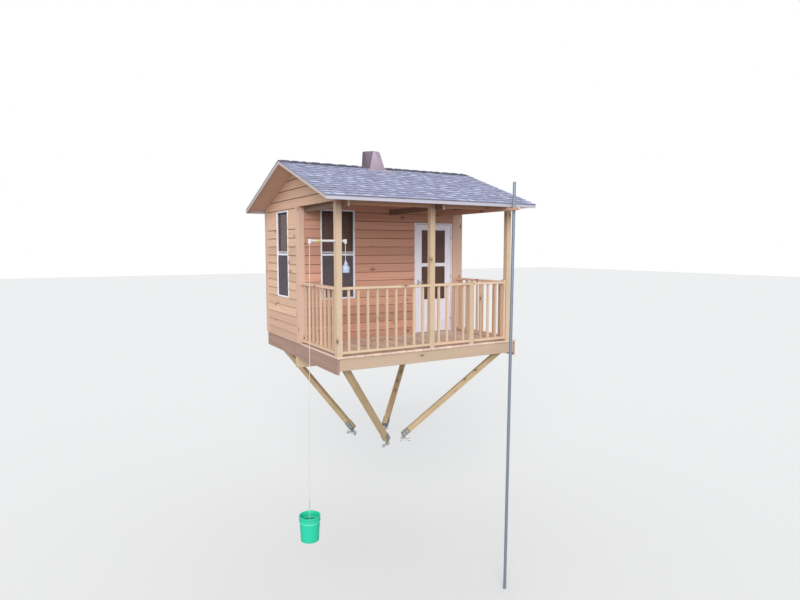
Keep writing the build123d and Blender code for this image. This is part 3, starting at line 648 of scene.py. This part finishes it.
def buildDeck():
    front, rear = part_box("deck_front"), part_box("deck_rear")
    way = trunkWay()
    low, high = front[0].x, front[1].x
    count = round((high - low + deck["gap"]) / (deck["board"] + deck["gap"]))
    pitch = (high - low + deck["gap"]) / count
    bottom, top = front[0].z, front[1].z
    bm = newMesh()
    for number in range(count):
        x0 = low + number * pitch
        x1 = x0 + pitch - deck["gap"]
        start = front[0].y + dice.uniform(*deck["raggedEnds"])
        lengths = [(x0, x1, start, way["front"]), (x0, x1, way["rear"], rear[1].y)]
        if x1 <= way["left"] or x0 >= way["right"]:
            lengths = [(x0, x1, start, rear[1].y)]
        elif x0 < way["left"]:
            lengths.append((x0, way["left"], way["front"], way["rear"]))
        elif x1 > way["right"]:
            lengths.append((way["right"], x1, way["front"], way["rear"]))
        for left, right, near, far in lengths:
            addBoard(bm, (left, near, bottom), (right, far, top), backward, deck["roundedEdge"])
    newPiece("deck_planks", bm, finishes["deck"],
             ("deck_front", "deck_rear", "deck_beside_trunk"))

    screws = newMesh()
    clear, wander = deck["screwClear"], deck["screwWander"]
    for joist in sorted(joistMiddles()):
        for number in range(count):
            for side in deck["screwPlaces"]:
                x = low + number * pitch + (pitch - deck["gap"]) * side + dice.uniform(-wander, wander)
                inWay = way["left"] - clear < x < way["right"] + clear and way["front"] < joist < way["rear"]
                if not inWay:
                    addScrew(screws, Vector((x, joist, top)), upward, deck["screwSunk"])
    newPiece("deck_screws", screws, finishes["galvanised"])
    print("deck laid:", count, "boards")


def trunkWay():
    front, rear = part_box("deck_front"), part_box("deck_rear")
    xs = sorted({round(vert.co.x, 5) for vert in nodes["deck_beside_trunk"].data.vertices})
    return {"left": xs[1], "right": xs[2], "front": front[1].y, "rear": rear[0].y}


def joistMiddles():
    ys = sorted({round(vert.co.y, 5) for vert in nodes["floor_joists"].data.vertices})
    return [(one + two) / 2 for one, two in zip(ys[::2], ys[1::2])]


# Railings

rail = {"thick": 0.038, "baluster": 0.035, "spacing": 0.160, "wander": 0.004, "stile": 0.038,
        "topTone": 0, "footTone": 0.1}


def addRailing(bm, start, end, low, high, along):
    # flat rails with square balusters between two posts; low and high are the other two sides
    def stand(a0, a1, b0, b1, z0, z1, grain, tone=None):
        if along is rightward:
            addBoard(bm, (a0, b0, z0), (a1, b1, z1), grain, tone=tone)
        else:
            addBoard(bm, (b0, a0, z0), (b1, a1, z1), grain, tone=tone)

    across = (low[0], high[0])
    thick, half = rail["thick"], rail["baluster"] / 2
    stand(start, end, *across, high[1] - thick, high[1], along, rail["topTone"])
    stand(start, end, *across, low[1], low[1] + thick, along, rail["footTone"])
    count = floor((end - start) / rail["spacing"])
    middle = sum(across) / 2
    first = (start + end) / 2 - rail["spacing"] * (count - 1) / 2
    for number in range(count):
        at = first + number * rail["spacing"] + dice.uniform(-rail["wander"], rail["wander"])
        stand(at - half, at + half, middle - half, middle + half, low[1] + thick, high[1] - thick, upward)


def buildRailings():
    for name, axis, finish in (("front_railing_left", 0, "pine"), ("front_railing_middle", 0, "rail"),
                               ("left_railing", 1, "rail"), ("right_railing", 1, "rail")):
        low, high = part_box(name)
        bm = newMesh()
        addRailing(bm, low[axis], high[axis], (low[1 - axis], low.z), (high[1 - axis], high.z),
                   (rightward, backward)[axis])
        newPiece(name + "_timber", bm, finishes[finish], (name,))
    buildGate()
    print("railings built")


gate = {"gap": 0.014, "hinges": (0.039, 0.982), "knuckle": 0.0065, "knuckleLength": 0.030,
        "leaf": 0.055, "leafThick": 0.003, "leafInset": 0.001, "leafScrews": (0.018, 0.042), "screw": 0.003,
        "latchDrop": 0.075, "latchPlate": ((-0.016, 0, -0.020), (0.016, 0.003, 0.020)),
        "latchBar": ((-0.012, 0.008, 0), (0.017, 0.008, 0)), "latchRadius": 0.005}


def buildGate():
    low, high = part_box("front_railing_left")
    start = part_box("gate_post")[0].x + (high.y - low.y) + gate["gap"]
    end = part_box("rail_gate")[1].x
    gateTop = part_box("rail_gate")[1].z
    bm = newMesh()
    addRailing(bm, start, end - rail["stile"], (low.y, low.z), (high.y, high.z), rightward)
    addBoard(bm, (end - rail["stile"], low.y, low.z), (end, high.y, gateTop), upward, 0.003, 0)
    newPiece("gate_timber", bm, finishes["rail"], ("rail_gate",), "gate")

    # hinge knuckles on the gate's own side, with leaves screwed to its rails, and a latch bar
    bm = newMesh()
    axis = start - gate["gap"] / 2
    length, face = gate["knuckleLength"], high.y + gate["leafThick"]
    for hinge in gate["hinges"]:
        foot = Vector((axis, high.y, corner.z + hinge))
        addRod(bm, foot, foot + upward * length, gate["knuckle"], 20)
        addBoard(bm, foot + upward * gate["leafInset"],
                 (start + gate["leaf"], face, foot.z + length - gate["leafInset"]), rightward, 0.0006)
        for reach in gate["leafScrews"]:
            addBolt(bm, Vector((start + reach, face, foot.z + length / 2)), backward, gate["screw"])
    latch = Vector((end - rail["stile"] / 2, high.y, gateTop - gate["latchDrop"]))
    addPlate(bm, latch, *gate["latchPlate"], upward, 0.001)
    addPin(bm, latch, gate["latchBar"], gate["latchRadius"], 12)
    newPiece("gate_hardware", bm, finishes["galvanised"], body="gate", smooth=40)


# Siding

siding = {"exposure": 0.1477, "firstEdge": -0.026, "butt": 0.0175, "undercut": 0.009, "tip": 0.002,
          "plain": (1.95, 2.235), "gableExposure": 0.160, "buried": 0.002, "sliver": 0.004,
          "besideCorner": 0.089, "besideDoor": 0.200}


def openPieces(u0, u1, z0, z1, holes):
    # what a course keeps beside, under and over the holes in its wall
    pieces = [(u0, u1, z0, z1)]
    for left, right, low, high in holes:
        kept = []
        for a, b, c, d in pieces:
            if right <= a or left >= b or high <= c or low >= d:
                kept.append((a, b, c, d))
                continue
            if left > a:
                kept.append((a, left, c, d))
            if right < b:
                kept.append((right, b, c, d))
            if low > c:
                kept.append((max(a, left), min(b, right), c, low))
            if high < d:
                kept.append((max(a, left), min(b, right), high, d))
        pieces = kept
    return pieces


def courseEdges(top, gable):
    # lower edges of the boards; a gable has one plain wide board and then wider courses
    last = siding["plain"][0] if gable else top
    edges = [siding["firstEdge"]]
    while edges[-1] + siding["exposure"] < last:
        edges.append(edges[-1] + siding["exposure"])
    edges.append(siding["plain"][1] if gable else edges[-1] + siding["exposure"])
    while gable and edges[-1] < top:
        edges.append(edges[-1] + siding["gableExposure"])
    return edges


def addCourses(bm, place, areas, edges, holes=()):
    # lapped boards, each thick at its lower edge and thin where the next one covers it
    for edge, upper in zip(edges, edges[1:]):
        course = []
        for left, right, low, high in areas:
            if min(high, upper) - max(low, edge) < siding["sliver"]:
                continue
            for a, b, c, d in openPieces(left, right, max(low, edge), min(high, upper), holes):
                course += addBlock(bm, (a, -siding["buried"], c), (b, siding["butt"], d))
        for vert in course:
            if vert.co.y > 0:
                share = (upper - vert.co.z) / (upper - edge)
                vert.co.y = siding["tip"] + (siding["butt"] - siding["tip"]) * share
                if share > 0.98:
                    vert.co.z += siding["undercut"]
        markGrain(bm, course, rightward)
        bmesh.ops.transform(bm, matrix=place, verts=course)


def roofPlanes():
    # a point and the outward normal of the sheathing's underside on each slope
    planes = []
    for name, outer in (("roof_front", 0), ("roof_rear", 1)):
        low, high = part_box(name)
        eave = (low, high)[outer].y
        ridge = (high, low)[outer].y
        verts = nodes[name].data.vertices
        eaveTop = max(vert.co.z for vert in verts if abs(vert.co.y - eave) < 1e-4)
        run, rise = abs(ridge - eave), high.z - eaveTop
        toRidge = 1 if ridge > eave else -1
        planes.append({"eave": Vector((low.x, eave, eaveTop)), "under": Vector((low.x, eave, low.z)),
                       "normal": Vector((0, -rise * toRidge, run)).normalized(), "run": run, "rise": rise,
                       "toRidge": toRidge, "length": (run ** 2 + rise ** 2) ** 0.5, "width": high.x - low.x})
    return planes


def wallPlace(origin, along, outward):
    turn = Matrix((along, outward, upward)).transposed().to_4x4()
    return Matrix.Translation(origin) @ turn


def boxHole(name, axis, origin):
    low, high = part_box(name)
    return (low[axis] - origin[axis], high[axis] - origin[axis], low.z - origin.z, high.z - origin.z)


def buildSiding():
    planes = roofPlanes()
    leftWall, rightWall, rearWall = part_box("left_wall"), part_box("right_wall"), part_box("rear_wall")
    gables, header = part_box("porch_gables"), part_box("corner_boards")[1].z - corner.z
    gableTop = gables[1].z - corner.z
    front = leftWall[0].y - corner.y
    rear = leftWall[1].y - corner.y

    for name, outward, face in (("left", -rightward, leftWall[0].x), ("right", rightward, rightWall[1].x)):
        origin = Vector((face, corner.y, corner.z))
        place = wallPlace(origin, backward, outward)
        holes = [boxHole("left_window", 1, origin)] if name == "left" else []
        bm = newMesh()
        areas = [(front, rear, -1, header), (0, rear, header, gableTop)]
        addCourses(bm, place, areas, courseEdges(gableTop, True), holes)
        for plane in planes:
            trimAbove(bm, plane["under"], plane["normal"])
        newPiece(name + "_siding", bm, finishes["siding"], recalc=True)

    origin = Vector((corner.x, leftWall[0].y, corner.z))
    doorHole = boxHole("door_frame", 0, origin)
    windowHole = boxHole("front_window", 0, origin)
    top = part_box("front_wall")[1].z - corner.z
    right = rightWall[1].x - corner.x
    bm = newMesh()
    addCourses(bm, wallPlace(origin, rightward, -backward),
               [(siding["besideCorner"], right - siding["besideDoor"], 0.001, top + siding["exposure"])],
               courseEdges(top, False), [windowHole, doorHole])
    newPiece("porch_siding", bm, finishes["porchSiding"], recalc=True)

    origin = Vector((corner.x, rearWall[1].y, corner.z))
    bm = newMesh()
    addCourses(bm, wallPlace(origin, rightward, backward), [(0, right, -1, top + siding["exposure"])],
               courseEdges(top, False))
    trimAbove(bm, planes[1]["under"], planes[1]["normal"])
    newPiece("rear_siding", bm, finishes["siding"], recalc=True)
    print("siding nailed on")


# Roof

roofing = {"exposure": 0.127, "butt": 0.008, "tip": 0.002, "lift": 0.005, "headLap": 0.02,
           "tab": (0.06, 0.16), "space": (0.03, 0.13), "firstTab": (0, 0.15), "tabLap": 0.01,
           "tabProud": 0.0015, "plainTone": (0.30, 0.46), "tabTone": (0.35, 0.85),
           "start": {"front": -0.008, "rear": 0.014}, "pastRake": 0.006, "flashingOverlap": (0.03, 0.05), "fasciaThick": 0.021}
ridgeCap = {"half": 0.13, "step": 0.127, "length": 0.26, "round": 0.012, "lift": 0.015, "drop": 0.008,
            "thick": 0.004, "tone": (0.1, 0.6), "besideFlashing": (-0.08, -0.10), "lastStart": 0.02}


def buildRoof():
    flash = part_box("trunk_flashing")
    for plane, side in zip(roofPlanes(), ("front", "rear")):
        toRidge = (backward * plane["run"] * plane["toRidge"] + upward * plane["rise"]).normalized()
        turn = Matrix((rightward, toRidge, plane["normal"])).transposed().to_4x4()
        place = Matrix.Translation(plane["eave"]) @ turn
        bm = newMesh()
        rows = ceil(plane["length"] / roofing["exposure"])
        # the shingles lie over the edges of the collar's flange and stop short of its walls
        aside, upslope = roofing["flashingOverlap"]
        flangeEdge = min(abs(flash[0].y - plane["eave"].y), abs(flash[1].y - plane["eave"].y))
        flashStart = flangeEdge * plane["length"] / plane["run"] + upslope
        holes = [(flash[0].x + aside - plane["eave"].x, flash[1].x - aside - plane["eave"].x,
                  flashStart, plane["length"] + 1)]
        ends = (-roofing["pastRake"], plane["width"] + roofing["pastRake"])
        for row in range(rows):
            s0 = row * roofing["exposure"] + (roofing["start"][side] if row == 0 else 0)
            s1 = min((row + 1) * roofing["exposure"] + roofing["headLap"], plane["length"])
            for part in openPieces(*ends, s0, s1, holes):
                addShingle(bm, place, part, (s0, s1), 0, roofing["butt"], dice.uniform(*roofing["plainTone"]))
            tabTop = min(s0 + roofing["exposure"] + roofing["tabLap"], plane["length"])
            at = ends[0] + dice.uniform(*roofing["firstTab"])
            while at < ends[1]:
                stop = min(at + dice.uniform(*roofing["tab"]), ends[1])
                for part in openPieces(at, stop, s0 - roofing["tabProud"], tabTop, holes):
                    addShingle(bm, place, part, (s0, s1), 0.001, roofing["butt"] + roofing["lift"],
                               dice.uniform(*roofing["tabTone"]))
                at = stop + dice.uniform(*roofing["space"])
        newPiece(side + "_shingles", bm, finishes["shingle"], recalc=True)

    for name in ("roof_front", "roof_rear"):
        finishNode(name, finishes["roofSlab"])
    buildRidge()
    trim = dressSolid("eave_trim", ("fascia_boards",), finishes["fascia"], ease=0.0015)
    eaves = [plane["eave"].y for plane in roofPlanes()]
    paintWhere(trim, finishes["rake"],
               lambda middle, normal: min(abs(middle.y - eave) for eave in eaves) > roofing["fasciaThick"])
    collar = dressSolid("trunk_collar", ("trunk_flashing",), finishes["flashing"])
    # painted reflection: the collar's facets that face left take the dark copy of the metal
    paintWhere(collar, finishes["flashingDark"],
               lambda middle, normal: normal.x < -0.3 and abs(normal.z) < 0.5)
    print("roof shingled")


def addShingle(bm, place, part, row, base, butt, tone):
    # thick at the lower edge of its row, thin at the upper one
    left, right, low, high = part
    made = addBlock(bm, (left, low, base), (right, high, butt))
    for vert in made:
        if vert.co.z > base + 1e-6:
            share = (row[1] - vert.co.y) / (row[1] - row[0])
            vert.co.z = roofing["tip"] + (butt - roofing["tip"]) * max(share, 0)
    markGrain(bm, made, backward, tone)
    bmesh.ops.transform(bm, matrix=place, verts=made)


def buildRidge():
    low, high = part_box("ridge_cap")
    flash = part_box("trunk_flashing")
    front = roofPlanes()[0]
    slope = front["rise"] / front["run"]
    ridge = Vector((0, front["eave"].y + front["run"], front["eave"].z + front["rise"]))
    left, right = [flash[side].x + ridgeCap["besideFlashing"][side] for side in (0, 1)]
    bm = newMesh()
    x = low.x
    while x < high.x - ridgeCap["lastStart"]:
        length = min(ridgeCap["length"], high.x - x)
        if not left < x < right:
            grid = bmesh.ops.create_grid(bm, x_segments=1, y_segments=6, size=0.5)["verts"]
            for vert in grid:
                share = vert.co.x + 0.5
                across = vert.co.y * 2 * ridgeCap["half"]
                fall = (across ** 2 + ridgeCap["round"] ** 2) ** 0.5 * slope
                lift = ridgeCap["lift"] - ridgeCap["drop"] * share
                vert.co = Vector((x + length * share, ridge.y + across, ridge.z + lift - fall))
            faces = list({face for vert in grid for face in vert.link_faces})
            thick = bmesh.ops.solidify(bm, geom=faces, thickness=ridgeCap["thick"])["geom"]
            made = {vert for face in thick if isinstance(face, bmesh.types.BMFace) for vert in face.verts}
            markGrain(bm, list(made | set(grid)), rightward, dice.uniform(*ridgeCap["tone"]))
        x += ridgeCap["step"]
    newPiece("ridge_shingles", bm, finishes["ridgeShingle"], ("ridge_cap",), recalc=True)


# Timbers whose solids are right as they are

def dressTimbers():
    dressTimber("side_rims", ("left_rim", "right_rim"), finishes["sideRim"])
    dressTimber("cross_rims", ("front_rim", "rear_rim"), finishes["paleRim"])
    dressTimber("joists", ("floor_joists", "trunk_headers"), finishes["frame"])
    dressTimber("carrying_beam", ("main_beam",), finishes["pine"])
    braces = ("brace_front_left", "brace_front_right", "brace_rear_left", "brace_rear_right")
    for name in braces:
        dressTimber(name + "_timber", (name,), finishes["brace"], ease=0.005)
    for name in ("post_left", "post_middle", "post_right", "gate_post"):
        post = dressTimber(name + "_timber", (name,), finishes["pine"], ease=0.004)
    low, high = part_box("front_railing_left")
    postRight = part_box("gate_post")[0].x + high.y - low.y
    paintWhere(post, finishes["galvanised"], lambda middle, normal: middle.x > postRight + 0.0005)
    dressTimber("beam_timber", ("porch_beam",), finishes["frame"])
    ties = dressTimber("tie_timbers", ("roof_ties",), finishes["ceiling"])
    # painted light: the ties' front ends, shaded by the eave here, take the pale deck colour as if lit
    paintWhere(ties, finishes["deck"], lambda middle, normal: normal.y < -0.9)
    arm = dressTimber("arm_timber", ("pole_arm",), finishes["frame"])
    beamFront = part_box("porch_beam")[0].y
    paintWhere(arm, finishes["trim"], lambda middle, normal: middle.y < beamFront - 0.12 or normal.y < -0.9)
    dressTimber("rafters", ("front_rafters", "rear_rafters", "ridge_board"), finishes["ceiling"])
    dressTimber("corner_trim", ("corner_boards",), finishes["trim"], ease=0.002)
    for name in ("left_wall", "right_wall", "front_wall", "wall_over_door", "wall_beside_door", "rear_wall",
                 "porch_gables"):
        finishNode(name, finishes["plywood"])
    print("timbers dressed")


# Windows

sash = {"frame": 0.026, "face": 0.014, "lipInset": 0.006, "lipWide": 0.010, "play": 0.001, "bead": 0.006,
        "rail": 0.014, "bevel": 0.0015, "meeting": 0.032, "upperRail": 0.015, "step": 0.050,
        "lock": 0.045, "lockHigh": 0.010, "lockPlaces": (0.3, 0.7), "screenInset": (0.002, 0.010),
        "sealInset": (0.004, 0.001), "sealAway": 0.06}
# how far in front of the wall each part starts and ends; the upper sash sits further out than the lower
sashDepths = {"lip": (-0.004, 0.004), "upper": (-0.052, -0.022), "lower": (-0.066, -0.036),
              "meeting": (-0.034, -0.008), "gap": (-0.060, -0.030), "screenEdge": (-0.024, -0.010),
              "lock": (-0.032, -0.018), "screen": (-0.018, -0.017)}


def addRing(bm, opening, wide, depths, sill=0.0, ease=0.0015):
    # four strips just inside an upright rectangle
    x0, x1, z0, z1 = opening
    foot = z0 + wide + sill
    for a, b, c, d in ((x0, x1, z1 - wide, z1), (x0, x1, z0, foot), (x0, x0 + wide, foot, z1 - wide),
                       (x1 - wide, x1, foot, z1 - wide)):
        addBoard(bm, (a, depths[0], c), (b, depths[1], d), upward, ease)


def buildWindow(name, along, outward):
    low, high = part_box(name)
    axis = 0 if along is rightward else 1
    width, height = high[axis] - low[axis], high.z - low.z
    face = low if (outward.x + outward.y) < 0 else high
    origin = Vector((low.x, low.y, low.z))
    origin[1 - axis] = face[1 - axis]
    place = wallPlace(origin, along, outward)
    depth = abs(high[1 - axis] - low[1 - axis])
    bm = newMesh()

    def addBar(part, x0, x1, z0, z1, grain=rightward, ease=sash["bevel"]):
        near, far = sashDepths[part]
        addBoard(bm, (x0, near, z0), (x1, far, z1), grain, ease)

    outline, lip, bead = (0, width, 0, height), sash["lipInset"], sash["bead"]
    addRing(bm, outline, sash["frame"], (-sash["face"], 0), bead)
    addRing(bm, outline, sash["frame"], (-depth, -sash["face"]), bead, 0)
    addRing(bm, (lip, width - lip, lip, height - lip), sash["lipWide"], sashDepths["lip"])
    inner = sash["frame"] + sash["play"]
    left, right = inner, width - inner
    meetingLow, meetingHigh = [height / 2 + side * sash["meeting"] / 2 for side in (-1, 1)]
    upperLow = height / 2 + sash["step"] - sash["upperRail"]
    addRing(bm, (left, right, upperLow, height - inner), sash["rail"], sashDepths["upper"])
    addRing(bm, (left, right, inner + bead, meetingHigh), sash["rail"], sashDepths["lower"])
    addBar("meeting", left, right, meetingLow, meetingHigh)
    addBar("gap", left, right, meetingHigh, upperLow, ease=0)
    for at in (left, right - bead):
        addBar("screenEdge", at, at + bead, inner + bead, height / 2, upward)
    for share in sash["lockPlaces"]:
        at = width * share - sash["lock"] / 2
        addBar("lock", at, at + sash["lock"], meetingHigh, meetingHigh + sash["lockHigh"], ease=0.003)
    bmesh.ops.transform(bm, matrix=place, verts=bm.verts)
    unit = newPiece(name + "_frame", bm, finishes["vinyl"], (name,), recalc=True)

    # painted shade: a dark filler in the gap over the meeting rail, and the recessed jambs behind the face of
    # the frame, take the near-black seal colour
    gapLow, gapHigh = low.z + meetingHigh, low.z + upperLow
    behind = origin.dot(outward) - sash["face"] - sash["sealInset"][1]

    def inPaintedShade(middle, normal):
        inGap = gapLow + sash["sealInset"][0] < middle.z < gapHigh - sash["sealInset"][1]
        return inGap or middle.dot(outward) < behind and abs(middle.z - gapLow) > sash["sealAway"]

    paintWhere(unit, finishes["seal"], inPaintedShade)

    bm = newMesh()
    aside, raised = sash["screenInset"]
    near, far = sashDepths["screen"]
    addBlock(bm, (left + aside, near, inner + raised), (right - aside, far, meetingLow))
    bmesh.ops.transform(bm, matrix=place, verts=bm.verts)
    newPiece(name + "_screen", bm, finishes["screen"], recalc=True)


def buildWindows():
    buildWindow("front_window", rightward, -backward)
    buildWindow("left_window", backward, -rightward)
    finishNode("window_glass", finishes["glass"])
    print("windows set")


# Storm door

storm = {"leaf": (2.253, 3.021, 0.014, 2.012), "front": 1.497, "back": 1.535, "lights": (2.365, 2.909),
         "lightHeights": ((0.615, 1.251), (1.291, 1.924)), "panel": (2.345, 2.929, 0.110, 0.545),
         "bead": 0.012, "beadFront": (-0.0025, 0.014), "beadBack": (-0.014, 0.0015),
         "panelLine": (-0.002, 0.001), "sweep": 0.008, "sweepInset": (0.004, 0.008),
         "knuckle": 0.012, "knuckleProud": (0.0056, 0.001),
         "handle": (2.298, 0.926), "backplate": ((-0.018, -0.006, -0.075), (0.018, 0.001, 0.075)),
         "spindle": ((0, 0, 0.03), (0, -0.045, 0.03)), "lock": ((0, -0.001, -0.035), (0, -0.011, -0.035)),
         "barrel": 0.009, "lever": ((-0.012, -0.052, 0.018), (0.085, -0.036, 0.038))}


def buildDoor():
    casing = dressSolid("door_casing", ("door_frame",), finishes["door"], ease=0.0015)
    leaf = dressSolid("door_leaf", ("storm_door",), finishes["door"], "door", ease=0.0015)
    finishNode("door_glass", finishes["glass"])
    front, back = corner.y + storm["front"], corner.y + storm["back"]
    knuckles = corner.x + storm["leaf"][1] - storm["knuckle"]
    for piece, proud in zip((casing, leaf), storm["knuckleProud"]):
        paintWhere(piece, finishes["galvanised"],
                   lambda middle, normal: middle.y < front - proud and middle.x > knuckles)

    # strips that hold the two lights, lines of the pressed kick panel, and a rubber sweep
    def ringAt(opening, plane, depths):
        left, right, low, high = opening
        addRing(bm, (corner.x + left, corner.x + right, corner.z + low, corner.z + high), storm["bead"],
                [plane + depth for depth in depths])

    bm = newMesh()
    for heights in storm["lightHeights"]:
        ringAt((*storm["lights"], *heights), front, storm["beadFront"])
        ringAt((*storm["lights"], *heights), back, storm["beadBack"])
    ringAt(storm["panel"], front, storm["panelLine"])
    newPiece("door_strips", bm, finishes["door"], body="door")
    bm = newMesh()
    left, right, low, high = storm["leaf"]
    aside, inside = storm["sweepInset"]
    addBoard(bm, spot(left + aside, storm["front"] + inside, low - storm["sweep"]),
             spot(right - aside, storm["back"] - inside, low + 0.001), rightward, 0.001)
    newPiece("door_sweep", bm, finishes["seal"], body="door")

    bm = newMesh()
    handle = spot(storm["handle"][0], storm["front"], storm["handle"][1])
    addPlate(bm, handle, *storm["backplate"], upward, 0.003)
    addPin(bm, handle, storm["spindle"], storm["barrel"])
    addPlate(bm, handle, *storm["lever"], rightward, 0.005)
    addPin(bm, handle, storm["lock"], storm["barrel"])
    newPiece("door_handle", bm, finishes["galvanised"], body="door", smooth=40)
    print("door hung")


# Hoist

hoist = {"ropeDiameter": 0.009, "pipe": (0.0445, 1.685), "tape": (-0.283, -0.225), "tapeRadius": 0.0177,
         "wraps": (0.010, 0.018, 0.026), "wrapRadius": 0.0075, "wrapTilts": (0.25, 0.05, -0.15),
         "tailFrom": (0.008, -0.004, 0.018), "tail": 0.055, "tailLean": (0.35, -0.3, -0.89)}


def addCoil(bm, middle, tilt, radius, thick):
    # one turn of rope round an upright line
    before = set(bm.verts)
    stand = Matrix.Translation((radius, 0, 0)) @ Matrix.Rotation(pi / 2, 4, "X")
    made = bmesh.ops.create_circle(bm, segments=8, radius=thick, matrix=stand)["verts"]
    edges = list({edge for vert in made for edge in vert.link_edges})
    bmesh.ops.spin(bm, geom=made + edges, cent=(0, 0, 0), axis=(0, 0, 1), angle=2 * pi, steps=20,
                   use_merge=True)
    place = Matrix.Translation(middle) @ Matrix.Rotation(tilt, 4, "Y")
    bmesh.ops.transform(bm, matrix=place, verts=[vert for vert in bm.verts if vert not in before])


def tieKnot(name, foot):
    # three wraps, pulled a little thin, and a short tail
    bm = newMesh()
    thick = hoist["ropeDiameter"] / 2
    for rise, tilt in zip(hoist["wraps"], hoist["wrapTilts"]):
        addCoil(bm, foot + upward * rise, tilt, hoist["wrapRadius"], thick * 0.9)
    start = foot + Vector(hoist["tailFrom"])
    addRod(bm, start, start + Vector(hoist["tailLean"]) * hoist["tail"], thick * 0.85, 10)
    return newPiece(name, bm, finishes["rope"], smooth=50, recalc=True)


def drawLine(name, points, diameter, finish):
    curve = bpy.data.curves.new(name, "CURVE")
    curve.dimensions = "3D"
    curve.bevel_depth = diameter / 2
    curve.bevel_resolution = 4
    spline = curve.splines.new("NURBS")
    spline.points.add(len(points) - 1)
    for point, place in zip(spline.points, points):
        point.co = (*place, 1)
    spline.order_u = 3
    spline.use_endpoint_u = True
    curve.materials.append(finish)
    return putInScene(name, curve)


def buildHoist():
    dressSolid("pulley_pipe", ("hoist_pipe",), finishes["pipe"])
    bm = newMesh()
    addRod(bm, *[spot(x, *hoist["pipe"]) for x in hoist["tape"]], hoist["tapeRadius"], 28)
    newPiece("pipe_tape", bm, finishes["tape"], smooth=40)
    for name, finish in (("bucket", "bucket"), ("bucket_bail", "wire"), ("jug", "jug")):
        smoothNode(name, finishes[finish], 0.001)
    for name, node, load in (("bucket_line", "bucket_rope", [nodes["bucket"], nodes["bucket_bail"]]),
                             ("jug_line", "jug_rope", [nodes["jug"]])):
        low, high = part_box(node)
        tops = [vert.co for vert in nodes[node].data.vertices if vert.co.z > high.z - 1e-4]
        feet = [vert.co for vert in nodes[node].data.vertices if vert.co.z < low.z + 0.0012]
        top = sum(tops, Vector()) / len(tops)
        foot = sum(feet, Vector()) / len(feet)
        top.z, foot.z = high.z, low.z
        load.append(tieKnot(name + "_knot", foot))
        line = drawLine(name, (top, (top + foot) / 2, foot), hoist["ropeDiameter"], finishes["rope"])
        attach(line, "tree_house")
        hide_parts(node)
        (top - foot).length
    print("hoist rigged")


# Steel

brace = {"feet": ((1.310, 0.905, -1.690), (1.740, 1.090, -1.730),
                  (1.020, 1.640, -1.650), (1.680, 1.650, -1.690)),
         "platform": (3.353, 3.273), "inset": 0.055, "top": -0.030, "half": 0.0445, "cheek": 0.006,
         "shoeBolts": (0.045, 0.110), "topBolts": (0.200, 0.585), "bolt": 0.009, "boltDrop": 0.055}
cornerScrews = {"heights": (0.12, 0.46, 0.80, 1.14, 1.48, 1.82), "columns": (0.022, 0.068), "wander": 0.02}


def addBraceBolts(bm):
    # hexagon bolts through each shoe's cheeks and through each brace's head
    wide, deep = [size - 2 * brace["inset"] for size in brace["platform"]]
    for foot, (right, rear) in zip(brace["feet"], ((0, 0), (1, 0), (0, 1), (1, 1))):
        foot = spot(*foot)
        head = spot(brace["inset"] + right * wide, brace["inset"] + rear * deep, brace["top"])
        along = (head - foot).normalized()
        for side in (along.cross(upward).normalized(), upward.cross(along).normalized()):
            timberFace = side * brace["half"]
            for reach in brace["shoeBolts"]:
                addBolt(bm, foot + along * reach + timberFace + side * brace["cheek"], side, brace["bolt"])
            for reach in brace["topBolts"]:
                addBolt(bm, head - along * reach + timberFace, side, brace["bolt"])


def addCornerScrews(bm):
    low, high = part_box("corner_boards")
    for height in cornerScrews["heights"]:
        for column in cornerScrews["columns"]:
            z = corner.z + height + dice.uniform(-cornerScrews["wander"], cornerScrews["wander"])
            for x in (low.x + column, high.x - column):
                addScrew(bm, Vector((x, low.y, z)), -backward, 0.001)
            for x in (low.x, high.x):
                addScrew(bm, Vector((x, low.y + column, z)), rightward, screw["proud"])


def buildSteel():
    dressSolid("pole_tube", ("slide_pole",), finishes["pole"])
    dressSolid("pole_clamp", ("pole_strap",), finishes["galvanised"], ease=0.0008)
    shoes = dressSolid("shoe_steel", ("brace_shoes",), finishes["shoe"], ease=0.001)

    def onTreeBolt(middle, normal):
        foot = min([spot(*foot) for foot in brace["feet"]], key=lambda place: (place - middle).length)
        return middle.z < foot.z - brace["boltDrop"]

    paintWhere(shoes, finishes["galvanised"], onTreeBolt)
    dressSolid("plate_steel", ("trunk_plate",), finishes["shoe"], ease=0.0015)
    bm = newMesh()
    addBraceBolts(bm)
    newPiece("brace_bolts", bm, finishes["galvanised"], smooth=40)
    bm = newMesh()
    addCornerScrews(bm)
    newPiece("corner_screws", bm, finishes["shoe"])
    print("steel dressed")


placeCamera()
lightScene()
layFloor()
finishes = makeFinishes()
print("finishes mixed")
dressTimbers()
buildDeck()
buildRailings()
buildSiding()
buildRoof()
buildWindows()
buildDoor()
buildHoist()
buildSteel()
